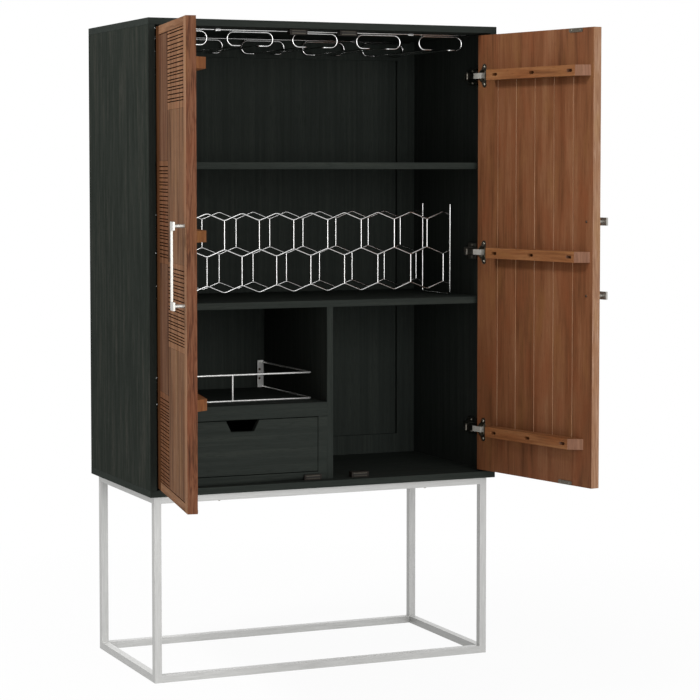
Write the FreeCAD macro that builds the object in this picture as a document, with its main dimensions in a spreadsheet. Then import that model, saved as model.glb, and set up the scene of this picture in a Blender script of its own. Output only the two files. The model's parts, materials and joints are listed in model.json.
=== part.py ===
import FreeCAD, Part
import math
import os
import re

# A bar armoire on a metal frame: two inset doors, stemware rack, bottle rack, tray shelf and drawer.
# Millimetres. X is to the right, Y is to the back and Z is up. The origin is on the floor,
# under the middle of the base's front rail. The doors stand open, as they are at rest.

Vector = FreeCAD.Vector
UP = Vector(0, 0, 1)
TO_BACK = Vector(0, 1, 0)
TO_RIGHT = Vector(1, 0, 0)
LEFT = -1
RIGHT = 1
SIDES = {"left": LEFT, "right": RIGHT}
WORDS = {LEFT: "left", RIGHT: "right"}
# The slats of a louvre block in their order: N is a narrow slat and W a wide one
SLAT_ORDER = "NWNWWNWNWWWNWNWNWWNN"

SIZES = {
    # Case
    "case_width": 1000,
    "case_depth": 520,
    "case_height": 1238,
    "board": 18,
    "face_setback": 35,
    "back_inset": 12,
    "back_board": 6,
    "back_frame_board": 12,
    "back_frame_width": 55,
    "upper_zone": 352,
    "bottle_zone": 351,
    "divider_offset": 11,
    "cubby_zone": 255,
    # Base frame of square tube
    "base_height": 492,
    "tube_side": 20,
    "tube_wall": 1.5,
    "base_side_inset": 16,
    "base_front_inset": 20,
    "base_back_inset": 18,
    "base_screw_diameter": 5,
    "base_screw_head": 11,
    "base_screw_head_height": 3,
    "base_screw_bite": 12,
    "base_screw_inset": 200,
    # Face frame round the drawer
    "face_board": 18,
    "apron_height": 38,
    "left_stile_width": 34,
    "right_stile_width": 25,
    "lower_rail_height": 21,
    # Drawer
    "drawer_gap": 2,
    "drawer_board": 12,
    "drawer_bottom_board": 6,
    "drawer_bottom_lift": 8,
    "drawer_back_gap": 65,
    "drawer_box_height": 110,
    "drawer_lift": 2,
    "runner_ledge": 10,
    "runner_guide": 30,
    "runner_gap": 0.3,
    "notch_top_width": 94,
    "notch_bottom_width": 64,
    "notch_depth": 30,
    # Doors
    "door_board": 25,
    "door_hinge_gap": 3,
    "door_meeting_gap": 3,
    "door_edge_gap": 6,
    "pivot_inset": 12,
    "pivot_depth": 7,
    "left_open_angle": 100,
    "right_open_angle": 101.5,
    "border_rail": 22,
    "hinge_border": 60,
    "free_border": 35,
    "column_split": 200,
    "field_depth": 9,
    "shadow_gap": 0.15,
    "rail_gap": 2,
    "free_louvre_high": 193,
    "free_board_high": 378,
    "free_louvre_low": 213,
    "hinge_board_high": 319,
    "hinge_louvre_high": 260,
    "hinge_board_low": 329,
    "narrow_slat": 4.6,
    "wide_slat": 8.1,
    "louvre_slot": 2.6,
    "louvre_relief": 6,
    "louvre_band": 13,
    "kerf_width": 2.5,
    "kerf_depth": 2,
    "kerf_first": 86,
    "kerf_last": 79.5,
    # Battens inside the doors
    "batten_board": 30,
    "batten_height": 28,
    "batten_start": 72,
    "batten_margin": 11,
    "batten_bevel": 28,
    "batten_top_drop": 110,
    "batten_screw_gap": 8,
    "right_middle_batten_rise": 4.5,
    "left_low_batten_rise": 259,
    "right_low_batten_rise": 112,
    "right_low_batten_short": 22,
    "slot_length": 22,
    "slot_width": 8,
    "slot_depth": 14,
    "slot_first": 36,
    "slot_last": 50,
    # Handles
    "handle_rise": 594.5,
    "handle_spacing": 192,
    "handle_margin": 25,
    "handle_width": 8,
    "handle_board": 6,
    "handle_tab_width": 38,
    "handle_tab_height": 21,
    "handle_post_diameter": 9,
    "handle_post_length": 26.5,
    # Concealed hinges
    "cup_diameter": 35,
    "cup_depth": 11.5,
    "cup_wall": 1.5,
    "cup_edge": 5,
    "cup_clearance": 0.1,
    "flange_board": 1.5,
    "flange_rim": 38,
    "flange_root": 26,
    "ear_diameter": 16,
    "ear_spacing": 48,
    "ear_offset": 6,
    "mount_plate_board": 8,
    "mount_plate_length": 52,
    "mount_plate_height": 44,
    "mount_plate_depth": 68,
    "arm_board": 12,
    "arm_height": 20,
    "knuckle_inset": 42,
    "knuckle_depth": 58,
    "knuckle_radius": 4.5,
    "link_board": 3,
    "link_height": 15,
    "link_gap": 0.3,
    "link_knee_rise": 5,
    "link_reach": 22,
    "link_dip": 6,
    "hinge_pin_diameter": 3,
    "hinge_pin_clearance": 0.08,
    # Small screws
    "screw_head_diameter": 7,
    "screw_head_height": 2,
    "through_screw_diameter": 4,
    "through_screw_clearance": 0.1,
    # Magnetic catches and strike plates
    "catch_length": 50,
    "catch_depth": 20,
    "catch_height": 15,
    "catch_wall": 2.5,
    "catch_gap": 3.5,
    "magnet_length": 40,
    "magnet_gap": 0.3,
    "magnet_proud": 0.5,
    "strike_length": 55,
    "strike_height": 11,
    "strike_board": 1.2,
    "upper_catch_offset": 72,
    "left_lower_catch_offset": 32,
    "right_lower_catch_offset": 106,
    # Wire goods
    "wire_diameter": 5,
    "lane_side_gap": 42,
    "lane_width": 134,
    "lane_height": 36,
    "lane_lip": 44,
    "lane_lip_bend": 8,
    "lane_front": 91,
    "lane_back_gap": 14,
    "cross_wire_overhang": 20,
    "clip_length": 14,
    "clip_width": 22,
    "clip_height": 7,
    "cell_width": 100,
    "cell_side": 77,
    "cell_rise": 20,
    "cell_lift": 19,
    "bottle_rack_front": 146,
    "bottle_rack_depth": 178,
    "bottle_rack_side_gap": 61,
    "bottle_rack_shift": 10,
    "bottle_rack_upright": 253,
    # Tray rail
    "tray_front": 128,
    "tray_rail_rise": 70,
    "tray_side_gap": 6,
    "tray_bend": 6,
    "tray_post_shift": 11,
    "tray_plate_width": 18,
    "tray_plate_board": 2,
    "tray_plate_height": 78,
}

PLACES = {
    "case_front": "-(base_front_inset + tube_side / 2)",
    "case_back": "case_front + case_depth",
    "inner_half": "case_width / 2 - board",
    "floor_top": "base_height + board",
    "top_under": "base_height + case_height - board",
    "inner_height": "top_under - floor_top",
    "face_line": "case_front + face_setback",
    "back_face": "case_back - back_inset - back_board - back_frame_board",
    "upper_shelf_top": "top_under - upper_zone",
    "middle_shelf_top": "upper_shelf_top - board - bottle_zone",
    "cubby_top": "middle_shelf_top - board - cubby_zone",
    "left_bay_width": "inner_half + divider_offset",
    "opening_left": "left_stile_width - inner_half",
    "opening_right": "divider_offset - right_stile_width",
    "opening_low": "floor_top + lower_rail_height",
    "opening_high": "cubby_top - apron_height",
    "drawer_left": "opening_left + drawer_gap",
    "drawer_right": "opening_right - drawer_gap",
    "drawer_low": "opening_low + drawer_lift",
    "drawer_depth": "back_face - face_line - drawer_back_gap",
    "drawer_box_back": "face_line + drawer_depth",
    "door_width": "inner_half - door_hinge_gap - door_meeting_gap / 2",
    "door_low": "floor_top + door_edge_gap",
    "door_height": "inner_height - 2 * door_edge_gap",
    "door_high": "door_low + door_height",
    "hinge_reach": "pivot_inset - door_hinge_gap",
    "field_low": "door_low + border_rail",
    "field_high": "door_high - border_rail",
    "door_inside": "door_board - pivot_depth",
    "kerf_pitch": "(door_width - kerf_first - kerf_last) / 4",
    "handle_middle": "door_low + handle_rise",
    "handle_screw_room": "(batten_height + screw_head_diameter) / 2 + batten_screw_gap",
    "top_batten": "door_high - batten_top_drop",
    "left_middle_batten": "handle_middle + handle_spacing / 2 - handle_screw_room",
    "right_middle_batten": "handle_middle + right_middle_batten_rise",
    "left_low_batten": "door_low + left_low_batten_rise",
    "right_low_batten": "door_low + right_low_batten_rise",
    "bottle_rack_half_width": "inner_half - bottle_rack_side_gap",
    "lane_pitch": "(inner_half - lane_side_gap - lane_width / 2) / 2",
    "base_screw_x": "case_width / 2 - base_screw_inset",
}

doc = FreeCAD.newDocument("bar_armoire")


def fill_sheet(name, cells, to_text):
    sheet = doc.addObject("Spreadsheet::Sheet", name)
    for row, (alias, content) in enumerate(cells.items(), start=1):
        sheet.set(f"A{row}", alias)
        sheet.set(f"B{row}", to_text(content))
        sheet.setAlias(f"B{row}", alias)
    doc.recompute()
    return sheet


def formula(text):
    """Turn each word that names a size or a place into a reference to its cell."""
    def reference(match):
        word = match.group(0)
        if word in SIZES:
            return "Sizes." + word
        if word in PLACES:
            return "Places." + word
        return word
    return re.sub(r"[a-z_]+", reference, text)


sizes_sheet = fill_sheet("Sizes", SIZES, str)
places_sheet = fill_sheet("Places", PLACES, lambda text: "=" + formula(text))
nodes = []


def val(name):
    sheet = sizes_sheet if name in SIZES else places_sheet
    return float(sheet.get(name))


# Building blocks

def keep(item, label):
    """Make an object a finished sub-part: its label is the name of its file."""
    item.Label = label
    nodes.append(item)
    return item


def move_to(item, corner):
    for axis, text in zip("xyz", corner):
        item.setExpression("Placement.Base." + axis, formula(text))
    return item


def box(name, corner, size):
    item = doc.addObject("Part::Box", name + "_box")
    for side, text in zip(("Length", "Width", "Height"), size):
        item.setExpression(side, formula(text))
    return move_to(item, corner)


def rod(name, centre, radius, length, direction):
    item = doc.addObject("Part::Cylinder", name + "_rod")
    item.setExpression("Radius", formula(radius))
    item.setExpression("Height", formula(length))
    item.Placement.Rotation = FreeCAD.Rotation(UP, direction)
    return move_to(item, centre)


def group(name, items):
    item = doc.addObject("Part::Compound", name + "_group")
    item.Links = items
    return item


def cut(name, base, tools):
    item = doc.addObject("Part::Cut", name + "_cut")
    item.Base = base
    item.Tool = tools[0] if len(tools) == 1 else group(name + "_tools", tools)
    return item


def solids_node(label, solids):
    """A sub-part whose solids are made here from the sheet's sizes."""
    item = doc.addObject("Part::Feature", label + "_shape")
    item.Shape = solids[0] if len(solids) == 1 else Part.makeCompound(solids)
    return keep(item, label)


def prism(points, direction):
    """A flat outline, closed and pushed along a direction."""
    outline = Part.makePolygon(list(points) + [points[0]])
    return Part.Face(outline).extrude(direction)


def wire_span(start, end):
    run = end - start
    return Part.makeCylinder(val("wire_diameter") / 2, run.Length, start, run)


def wire_bend(start, tangent, inward, bend_radius, angle):
    """A round wire's arc: it leaves start along tangent and curls towards inward."""
    centre = start + inward * bend_radius
    section = Part.Face(Part.Wire(Part.makeCircle(val("wire_diameter") / 2, start, tangent)))
    return section.revolve(centre, inward.cross(tangent) * -1, angle)


def bent_wire(corners, bends, closed=False):
    """Straight spans and tangent arcs, meeting end to end, along a line of corners."""
    count = len(corners)
    starts = {}
    ends = {}
    solids = []
    for i in range(count):
        if not closed and i in (0, count - 1):
            starts[i] = ends[i] = corners[i]
            continue
        before = (corners[i] - corners[i - 1]).normalize()
        after = (corners[(i + 1) % count] - corners[i]).normalize()
        turn = before.getAngle(after)
        reach = bends[i] * math.tan(turn / 2)
        inward = (after - before * before.dot(after)).normalize()
        ends[i] = corners[i] - before * reach
        starts[i] = corners[i] + after * reach
        solids.append(wire_bend(ends[i], before, inward, bends[i], math.degrees(turn)))
    for i in range(count if closed else count - 1):
        follow = (i + 1) % count
        if starts[i].distanceToPoint(ends[follow]) > val("wire_diameter") / 100:
            solids.append(wire_span(starts[i], ends[follow]))
    return solids


def mitred_wire(corners, end_run):
    """Straight wire spans cut on the bisecting plane of each corner, so that they meet flat.

    The outer ends are cut square to end_run, or to their own span where end_run is None.
    """
    solids = []
    spare = val("wire_diameter")
    runs = [(b - a).normalize() for a, b in zip(corners, corners[1:])]
    planes = [a + b for a, b in zip(runs, runs[1:])]
    planes = [end_run or runs[0]] + planes + [end_run or runs[-1]]
    for i, run in enumerate(runs):
        start = corners[i]
        end = corners[i + 1]
        solid = wire_span(start - run * spare, end + run * spare)
        solids.extend(solid.cut([waste(start, planes[i] * -1), waste(end, planes[i + 1])]).Solids)
    return solids


def waste(point, outward):
    """The block past a mitre plane, where a wire's spare length is cut off."""
    reach = 4 * val("wire_diameter")
    block = Part.makeBox(2 * reach, 2 * reach, reach, Vector(-reach, -reach, 0))
    block.Placement = FreeCAD.Placement(point, FreeCAD.Rotation(UP, outward))
    return block


# Case

def make_case():
    side_size = ("board", "case_depth", "inner_height")
    full_size = ("case_width", "case_depth", "board")
    keep(box("top", ("-case_width / 2", "case_front", "top_under"), full_size), "top_panel")
    screw_holes = [
        rod("base_hole", (x, y, "base_height"), "base_screw_diameter / 2 + through_screw_clearance",
            "base_screw_bite", UP)
        for x, y in base_screw_places()
    ]
    bottom = box("bottom", ("-case_width / 2", "case_front", "base_height"), full_size)
    keep(cut("bottom", bottom, screw_holes), "bottom_panel")
    keep(box("left", ("-case_width / 2", "case_front", "floor_top"), side_size), "left_side_panel")
    keep(box("right", ("inner_half", "case_front", "floor_top"), side_size), "right_side_panel")


def make_back():
    stile_size = ("back_frame_width", "back_frame_board", "inner_height")
    rail_size = ("2 * (inner_half - back_frame_width)", "back_frame_board", "back_frame_width")
    rail_left = "back_frame_width - inner_half"
    frame = [
        box("back_stile", ("-inner_half", "back_face", "floor_top"), stile_size),
        box("back_stile", ("inner_half - back_frame_width", "back_face", "floor_top"), stile_size),
        box("back_rail", (rail_left, "back_face", "floor_top"), rail_size),
        box("back_rail", (rail_left, "back_face", "top_under - back_frame_width"), rail_size),
    ]
    keep(group("back_frame", frame), "back_frame")
    panel = box("back", ("-inner_half", "back_face + back_frame_board", "floor_top"),
                ("2 * inner_half", "back_board", "inner_height"))
    keep(panel, "back_panel")


def make_shelves():
    shelf_size = ("2 * inner_half", "back_face - face_line", "board")
    keep(box("upper", ("-inner_half", "face_line", "upper_shelf_top - board"), shelf_size), "upper_shelf")
    keep(box("middle", ("-inner_half", "face_line", "middle_shelf_top - board"), shelf_size), "middle_shelf")
    keep(box("divider", ("divider_offset", "face_line", "floor_top"),
             ("board", "back_face - face_line", "middle_shelf_top - board - floor_top")), "lower_divider")
    keep(box("cubby", ("-inner_half", "face_line + face_board", "cubby_top - board"),
             ("left_bay_width", "back_face - face_line - face_board", "board")), "cubby_shelf")


def make_face_frame():
    stile_height = "opening_high - floor_top"
    pieces = [
        box("apron", ("-inner_half", "face_line", "opening_high"),
            ("left_bay_width", "face_board", "apron_height")),
        box("left_stile", ("-inner_half", "face_line", "floor_top"),
            ("left_stile_width", "face_board", stile_height)),
        box("right_stile", ("opening_right", "face_line", "floor_top"),
            ("right_stile_width", "face_board", stile_height)),
        box("low_rail", ("opening_left", "face_line", "floor_top"),
            ("opening_right - opening_left", "face_board", "lower_rail_height")),
    ]
    keep(group("face_frame", pieces), "drawer_face_frame")


# Base frame

def base_screw_places():
    front = "0"
    back = "case_back - base_back_inset - tube_side / 2"
    return [(x, y) for x in ("-base_screw_x", "base_screw_x") for y in (front, back)]


def mitred_tube(length):
    """A square tube along X with both ends cut at 45 degrees, the longer side at Y = 0."""
    side = val("tube_side")
    wall = val("tube_wall")
    shells = []
    for inset, low, high in ((0, 0, side), (wall, wall, side - wall)):
        outline = [
            Vector(inset, inset, low),
            Vector(length - inset, inset, low),
            Vector(length - side + inset, side - inset, low),
            Vector(side - inset, side - inset, low),
        ]
        shells.append(prism(outline, UP * (high - low)))
    return shells[0].cut(shells[1])


def make_base():
    half_width = val("case_width") / 2 - val("base_side_inset")
    front = -val("tube_side") / 2
    back = val("case_back") - val("base_back_inset")
    depth = back - front
    corners = [
        (Vector(-half_width, front), TO_RIGHT, 2 * half_width),
        (Vector(half_width, front), TO_BACK, depth),
        (Vector(half_width, back), TO_RIGHT * -1, 2 * half_width),
        (Vector(-half_width, back), TO_BACK * -1, depth),
    ]
    rings = {"base_bottom_rails": 0, "base_top_rails": val("base_height") - val("tube_side")}
    drill_radius = val("base_screw_diameter") / 2 + val("through_screw_clearance")
    drills = [
        Part.makeCylinder(drill_radius, val("base_height"), Vector(x, y, val("base_height") / 2))
        for x in (-val("base_screw_x"), val("base_screw_x"))
        for y in (0, back + front)
    ]
    for label, height in rings.items():
        tubes = []
        for corner, run, length in corners:
            tube = mitred_tube(length)
            turn = FreeCAD.Rotation(run, UP.cross(run), UP, "ZXY")
            tube.Placement = FreeCAD.Placement(corner + UP * height, turn)
            tubes.append(tube.cut(drills) if height else tube)
        solids_node(label, tubes)
    make_legs()
    screws = [base_screw(drill.BoundBox.Center) for drill in drills]
    solids_node("base_screws", screws)


def make_legs():
    leg_height = "base_height - 2 * tube_side"
    legs = []
    for x in ("base_side_inset - case_width / 2", "case_width / 2 - base_side_inset - tube_side"):
        for y in ("-tube_side / 2", "case_back - base_back_inset - tube_side"):
            outer = box("leg", (x, y, "tube_side"), ("tube_side", "tube_side", leg_height))
            bore_side = "tube_side - 2 * tube_wall"
            bore = box("leg_bore", (x + " + tube_wall", y + " + tube_wall", "tube_side"),
                       (bore_side, bore_side, leg_height))
            legs.append(cut("leg", outer, [bore]))
    keep(group("legs", legs), "base_legs")


def base_screw(place):
    """A screw up through the top rail into the bottom panel, its head under the rail."""
    seat = val("base_height") - val("tube_side")
    head = Part.makeCylinder(val("base_screw_head") / 2, val("base_screw_head_height"),
                             Vector(place.x, place.y, seat - val("base_screw_head_height")))
    shank = Part.makeCylinder(val("base_screw_diameter") / 2, val("tube_side") + val("base_screw_bite"),
                              Vector(place.x, place.y, seat))
    return head.fuse(shank).removeSplitter()


# Drawer

def make_drawer():
    front_size = ("drawer_right - drawer_left", "face_board",
                  "opening_high - opening_low - 2 * drawer_gap")
    front = box("drawer_front", ("drawer_left", "face_line", "opening_low + drawer_gap"), front_size)
    keep(cut("drawer_front", front, [finger_notch()]), "drawer_front")
    inner = "face_line + face_board"
    depth = "drawer_depth - face_board"
    sides = [
        box("drawer_side", (x, inner, "drawer_low"), ("drawer_board", depth, "drawer_box_height"))
        for x in ("drawer_left", "drawer_right - drawer_board")
    ]
    keep(group("drawer_sides", sides), "drawer_sides")
    width = "drawer_right - drawer_left - 2 * drawer_board"
    left = "drawer_left + drawer_board"
    keep(box("drawer_back", (left, "drawer_box_back - drawer_board", "drawer_low"),
             (width, "drawer_board", "drawer_box_height")), "drawer_back")
    keep(box("drawer_bottom", (left, inner, "drawer_low + drawer_bottom_lift"),
             (width, "drawer_depth - face_board - drawer_board", "drawer_bottom_board")), "drawer_bottom")


def finger_notch():
    """The tapered cut at the top of the drawer front: narrow below, wide above."""
    notch = doc.addObject("Part::Wedge", "finger_notch")
    for side, text in (
        ("Xmin", "-notch_bottom_width / 2"), ("Xmax", "notch_bottom_width / 2"),
        ("X2min", "-notch_top_width / 2"), ("X2max", "notch_top_width / 2"),
        ("Ymin", "0"), ("Ymax", "notch_depth"),
        ("Zmin", "0"), ("Zmax", "face_board"), ("Z2min", "0"), ("Z2max", "face_board"),
    ):
        notch.setExpression(side, formula(text))
    notch.Placement.Rotation = FreeCAD.Rotation(TO_RIGHT, 90)
    middle = "(drawer_left + drawer_right) / 2"
    return move_to(notch, (middle, "face_line + face_board", "opening_high - drawer_gap - notch_depth"))


def make_runners():
    """Wooden runners: a ledge under each drawer side and a guide beside it."""
    runners = []
    start = "face_line + face_board"
    length = "drawer_depth - face_board"
    ledge_height = "drawer_low - runner_gap - floor_top"
    guide_height = "drawer_low + runner_guide - floor_top"
    left_guide = "left_stile_width + drawer_gap - runner_gap"
    right_guide = "right_stile_width + drawer_gap - runner_gap"
    for ledge_left, guide_left, guide_width in (
        ("-inner_half", "-inner_half", left_guide),
        ("drawer_right - drawer_board - runner_ledge", "drawer_right + runner_gap", right_guide),
    ):
        ledge_width = guide_width + " + runner_gap + drawer_board + runner_ledge"
        ledge = box("ledge", (ledge_left, start, "floor_top"), (ledge_width, length, ledge_height))
        guide = box("guide", (guide_left, start, "floor_top"), (guide_width, length, guide_height))
        runner = doc.addObject("Part::Fuse", "runner")
        runner.Base = ledge
        runner.Tool = guide
        runner.Refine = True
        runners.append(runner)
    keep(group("runners", runners), "drawer_runners")


# Doors. A door's own frame has its origin on the hinge axis, with the door shut along X.
# A distance along the door is counted from its hinge edge, and a depth from its outer face.

def hang(item, side):
    """Swing a door piece from its shut place to its place at rest."""
    angle = "-left_open_angle" if side == LEFT else "right_open_angle"
    axis_x = "pivot_inset - inner_half" if side == LEFT else "inner_half - pivot_inset"
    item.Placement.Rotation = FreeCAD.Rotation(UP, 1)
    item.setExpression("Placement.Rotation.Angle", formula(angle))
    return move_to(item, (axis_x, "case_front + pivot_depth", "0"))


def along(side, start, length):
    """X of a door box's left face, from its start and length along the door."""
    if side == LEFT:
        return f"({start}) - hinge_reach"
    return f"hinge_reach - ({start}) - ({length})"


def door_box(name, side, start, depth, low, size):
    return box(name, (along(side, start, size[0]), f"({depth}) - pivot_depth", low), size)


def door_point(side, run, depth, height):
    """A point of a door in its own frame."""
    return Vector(-side * (run - val("hinge_reach")), depth - val("pivot_depth"), height)


def door_solids(label, side, solids):
    return hang(solids_node(label, solids), side)


def batten_names(side):
    """Cells with the heights of the three battens, which the hinges share."""
    return ["top_batten", WORDS[side] + "_middle_batten", WORDS[side] + "_low_batten"]


def batten_heights(side):
    return [val(name) for name in batten_names(side)]


def make_door_panel(name, side):
    slab = door_box("door", side, "0", "0", "door_low", ("door_width", "door_board", "door_height"))
    tools = [door_box("field", side, "hinge_border", "0", "field_low",
                      ("door_width - hinge_border - free_border", "field_depth", "field_high - field_low"))]
    battens = batten_names(side)
    for i in range(5):
        tools.append(door_box("kerf", side, f"kerf_first + {i} * kerf_pitch", "door_board - kerf_depth",
                              battens[-1], ("kerf_width", "kerf_depth", f"{battens[0]} - {battens[-1]}")))
    for name_of_height in battens:
        bore_centre = (along(side, "cup_edge + cup_diameter / 2", "0"), "door_inside - cup_depth",
                       name_of_height)
        tools.append(rod("cup_bore", bore_centre, "cup_diameter / 2 + cup_clearance", "cup_depth", TO_BACK))
    for sign in ("-", "+"):
        tools.append(rod("handle_hole", (along(side, "door_width - handle_margin", "0"), "-pivot_depth",
                                         f"handle_middle {sign} handle_spacing / 2"),
                         "through_screw_diameter / 2 + through_screw_clearance", "door_board", TO_BACK))
    keep(hang(cut(name, slab, tools), side), name + "_panel")


def field_rows():
    """Each row of the pattern: its column, its kind, its lower edge and its height."""
    rows = []
    columns = {
        "hinge": (("board", "hinge_board_high"), ("louvre", "hinge_louvre_high"),
                  ("board", "hinge_board_low"), ("louvre", None)),
        "free": (("louvre", "free_louvre_high"), ("board", "free_board_high"),
                 ("louvre", "free_louvre_low"), ("board", None)),
    }
    for column, pieces in columns.items():
        high = "field_high - rail_gap"
        for kind, height in pieces:
            low = f"{high} - {height}" if height else "field_low + rail_gap"
            rows.append((column, kind, low, f"({high}) - ({low})"))
            high = low
    return rows


def column_span(column):
    if column == "hinge":
        return "hinge_border", "column_split - hinge_border"
    return "column_split", "door_width - free_border - column_split"


def make_door_boards(name, side):
    boards = []
    for column, kind, low, height in field_rows():
        start, width = column_span(column)
        if kind == "board":
            size = (f"{width} - 2 * shadow_gap", "field_depth", f"{height} - 2 * shadow_gap")
            boards.append(door_box("board", side, f"{start} + shadow_gap", "0", f"{low} + shadow_gap", size))
    keep(hang(group(name + "_boards", boards), side), name + "_boards")


def row_value(text):
    """The number that a sum of cell names comes to."""
    total = 0
    for sign, name in re.findall(r"([+-]?)\s*([a-z_]+)", text):
        total += -val(name) if sign == "-" else val(name)
    return total


def slat_height(number):
    kind = SLAT_ORDER[number % len(SLAT_ORDER)]
    return val("narrow_slat") if kind == "N" else val("wide_slat")


def slot_starts(height, lead):
    """How far each slot lies from one end of a block, from a plain lead on, until only a band has room."""
    slot = val("louvre_slot")
    starts = []
    place = lead
    while place + slot + val("louvre_band") <= height:
        starts.append(place)
        place += slot + slat_height(len(starts))
    return starts


def louvre_block(side, column, low, high):
    """One carved block: slats with slots between them, and a plain band at each end away from a rail."""
    start = val("hinge_border") if column == "hinge" else val("column_split")
    end = val("column_split") if column == "hinge" else val("door_width") - val("free_border")
    gap = val("shadow_gap")
    slot = val("louvre_slot")
    foot = low + gap
    head = high - gap
    on_low_rail = low < val("field_low") + 2 * val("rail_gap")
    under_high_rail = high > val("field_high") - 2 * val("rail_gap")
    lead = slat_height(0) if on_low_rail or under_high_rail else val("louvre_band")
    floors = []
    for begin in slot_starts(head - foot, lead):
        floors.append(foot + begin if on_low_rail else head - begin - slot)
    place = start + gap
    outline = [door_point(side, place, val("field_depth"), foot), door_point(side, place, 0, foot)]
    for floor in sorted(floors):
        outline.append(door_point(side, place, 0, floor))
        outline.append(door_point(side, place, val("louvre_relief"), floor))
        outline.append(door_point(side, place, val("louvre_relief"), floor + slot))
        outline.append(door_point(side, place, 0, floor + slot))
    outline.append(door_point(side, place, 0, head))
    outline.append(door_point(side, place, val("field_depth"), head))
    return prism(outline, TO_RIGHT * -side * (end - start - 2 * gap))


def make_door_louvres(name, side):
    blocks = []
    for column, kind, low, height in field_rows():
        if kind == "louvre":
            foot = row_value(low)
            head = row_value(height.split(") - (")[0].strip("("))
            blocks.append(louvre_block(side, column, foot, head))
    door_solids(name + "_louvres", side, blocks)


def batten_end(side, index):
    short = val("right_low_batten_short") if side == RIGHT and index == 2 else 0
    return val("door_width") - val("batten_margin") - short


def slot_places(side, index):
    """Where the screw slots lie along a batten."""
    first = val("batten_start") + val("slot_first")
    last = batten_end(side, index) - val("slot_last")
    return [first, (first + last) / 2, last]


def make_battens(name, side):
    battens = []
    inside = val("door_board")
    face = inside + val("batten_board")
    for index, height in enumerate(batten_heights(side)):
        low = height - val("batten_height") / 2
        end = batten_end(side, index)
        outline = [
            door_point(side, val("batten_start"), inside, low),
            door_point(side, end, inside, low),
            door_point(side, end - val("batten_bevel"), face, low),
            door_point(side, val("batten_start"), face, low),
        ]
        batten = prism(outline, UP * val("batten_height"))
        slots = [screw_slot(side, place, face, height) for place in slot_places(side, index)]
        battens.append(batten.cut(slots))
    door_solids(name + "_battens", side, battens)


def screw_slot(side, place, face, height):
    """The room that a screw's pocket takes out of a batten's face."""
    depth = val("slot_depth")
    middle = door_point(side, place, face - depth, height)
    return round_ended(middle, val("slot_length"), val("slot_width"), depth)


def round_ended(middle, length, width, board):
    """A block with round ends that lies along X and is pushed back from its front face."""
    radius = width / 2
    half = length / 2 - radius
    ends = [Part.makeCylinder(radius, board, middle + TO_RIGHT * shift, TO_BACK) for shift in (-half, half)]
    block = Part.makeBox(2 * half, board, width, middle - TO_RIGHT * half - UP * radius)
    return block.fuse(ends).removeSplitter()


def screw_head(place, direction):
    """A low round head with softened rim, seated on a face."""
    return Part.makeCone(val("screw_head_diameter") / 2, val("screw_head_diameter") / 3,
                         val("screw_head_height"), place, direction)


def make_door_screws(name, side):
    heads = []
    slot_floor = val("door_board") + val("batten_board") - val("slot_depth")
    flange_face = val("door_board") + val("flange_board")
    ear_run = val("cup_edge") + val("cup_diameter") / 2 + val("ear_offset")
    for index, height in enumerate(batten_heights(side)):
        for place in slot_places(side, index):
            heads.append(screw_head(door_point(side, place, slot_floor, height), TO_BACK))
        for shift in (-val("ear_spacing") / 2, val("ear_spacing") / 2):
            heads.append(screw_head(door_point(side, ear_run, flange_face, height + shift), TO_BACK))
    door_solids(name + "_screws", side, heads)


def make_hinge_cups(name, side):
    cups = []
    radius = val("cup_diameter") / 2
    for height in batten_heights(side):
        mouth = door_point(side, val("cup_edge") + radius, val("door_board"), height)
        floor = mouth - TO_BACK * val("cup_depth")
        cup = Part.makeCylinder(radius, val("cup_depth"), floor, TO_BACK)
        rim = Part.makeCylinder(val("flange_rim") / 2, val("flange_board"), mouth, TO_BACK)
        swept = mouth - TO_RIGHT * side * val("ear_offset")
        ears = [flange_ear(mouth, swept + UP * shift * val("ear_spacing") / 2) for shift in (-1, 1)]
        hollow = Part.makeCylinder(radius - val("cup_wall"), val("cup_depth") + val("flange_board"),
                                   floor + TO_BACK * val("cup_wall"), TO_BACK)
        cups.append(cup.fuse([rim] + ears).cut(hollow).fuse(cup_pin(side, height)).removeSplitter())
    door_solids(name + "_hinge_cups", side, cups)


def flange_ear(middle, tip):
    """One ear of a cup's flange: a round end for the screw and the web that joins it to the rim."""
    across = TO_BACK.cross(tip - middle).normalize()
    root = across * (val("flange_root") / 2)
    end = across * (val("ear_diameter") / 2)
    web = prism([middle + root, tip + end, tip - end, middle - root], TO_BACK * val("flange_board"))
    return web.fuse(Part.makeCylinder(val("ear_diameter") / 2, val("flange_board"), tip, TO_BACK))


def cup_pin(side, height):
    """The pin across the cup that the link's tip bears on when the door stands open."""
    radius = val("hinge_pin_diameter") / 2
    half = (val("cup_diameter") - val("cup_wall")) / 2
    depth = val("door_board") + val("flange_board") - val("link_dip") - val("link_gap") - radius
    return Part.makeCylinder(radius, 2 * half, door_point(side, val("link_reach"), depth, height - half))


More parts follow.
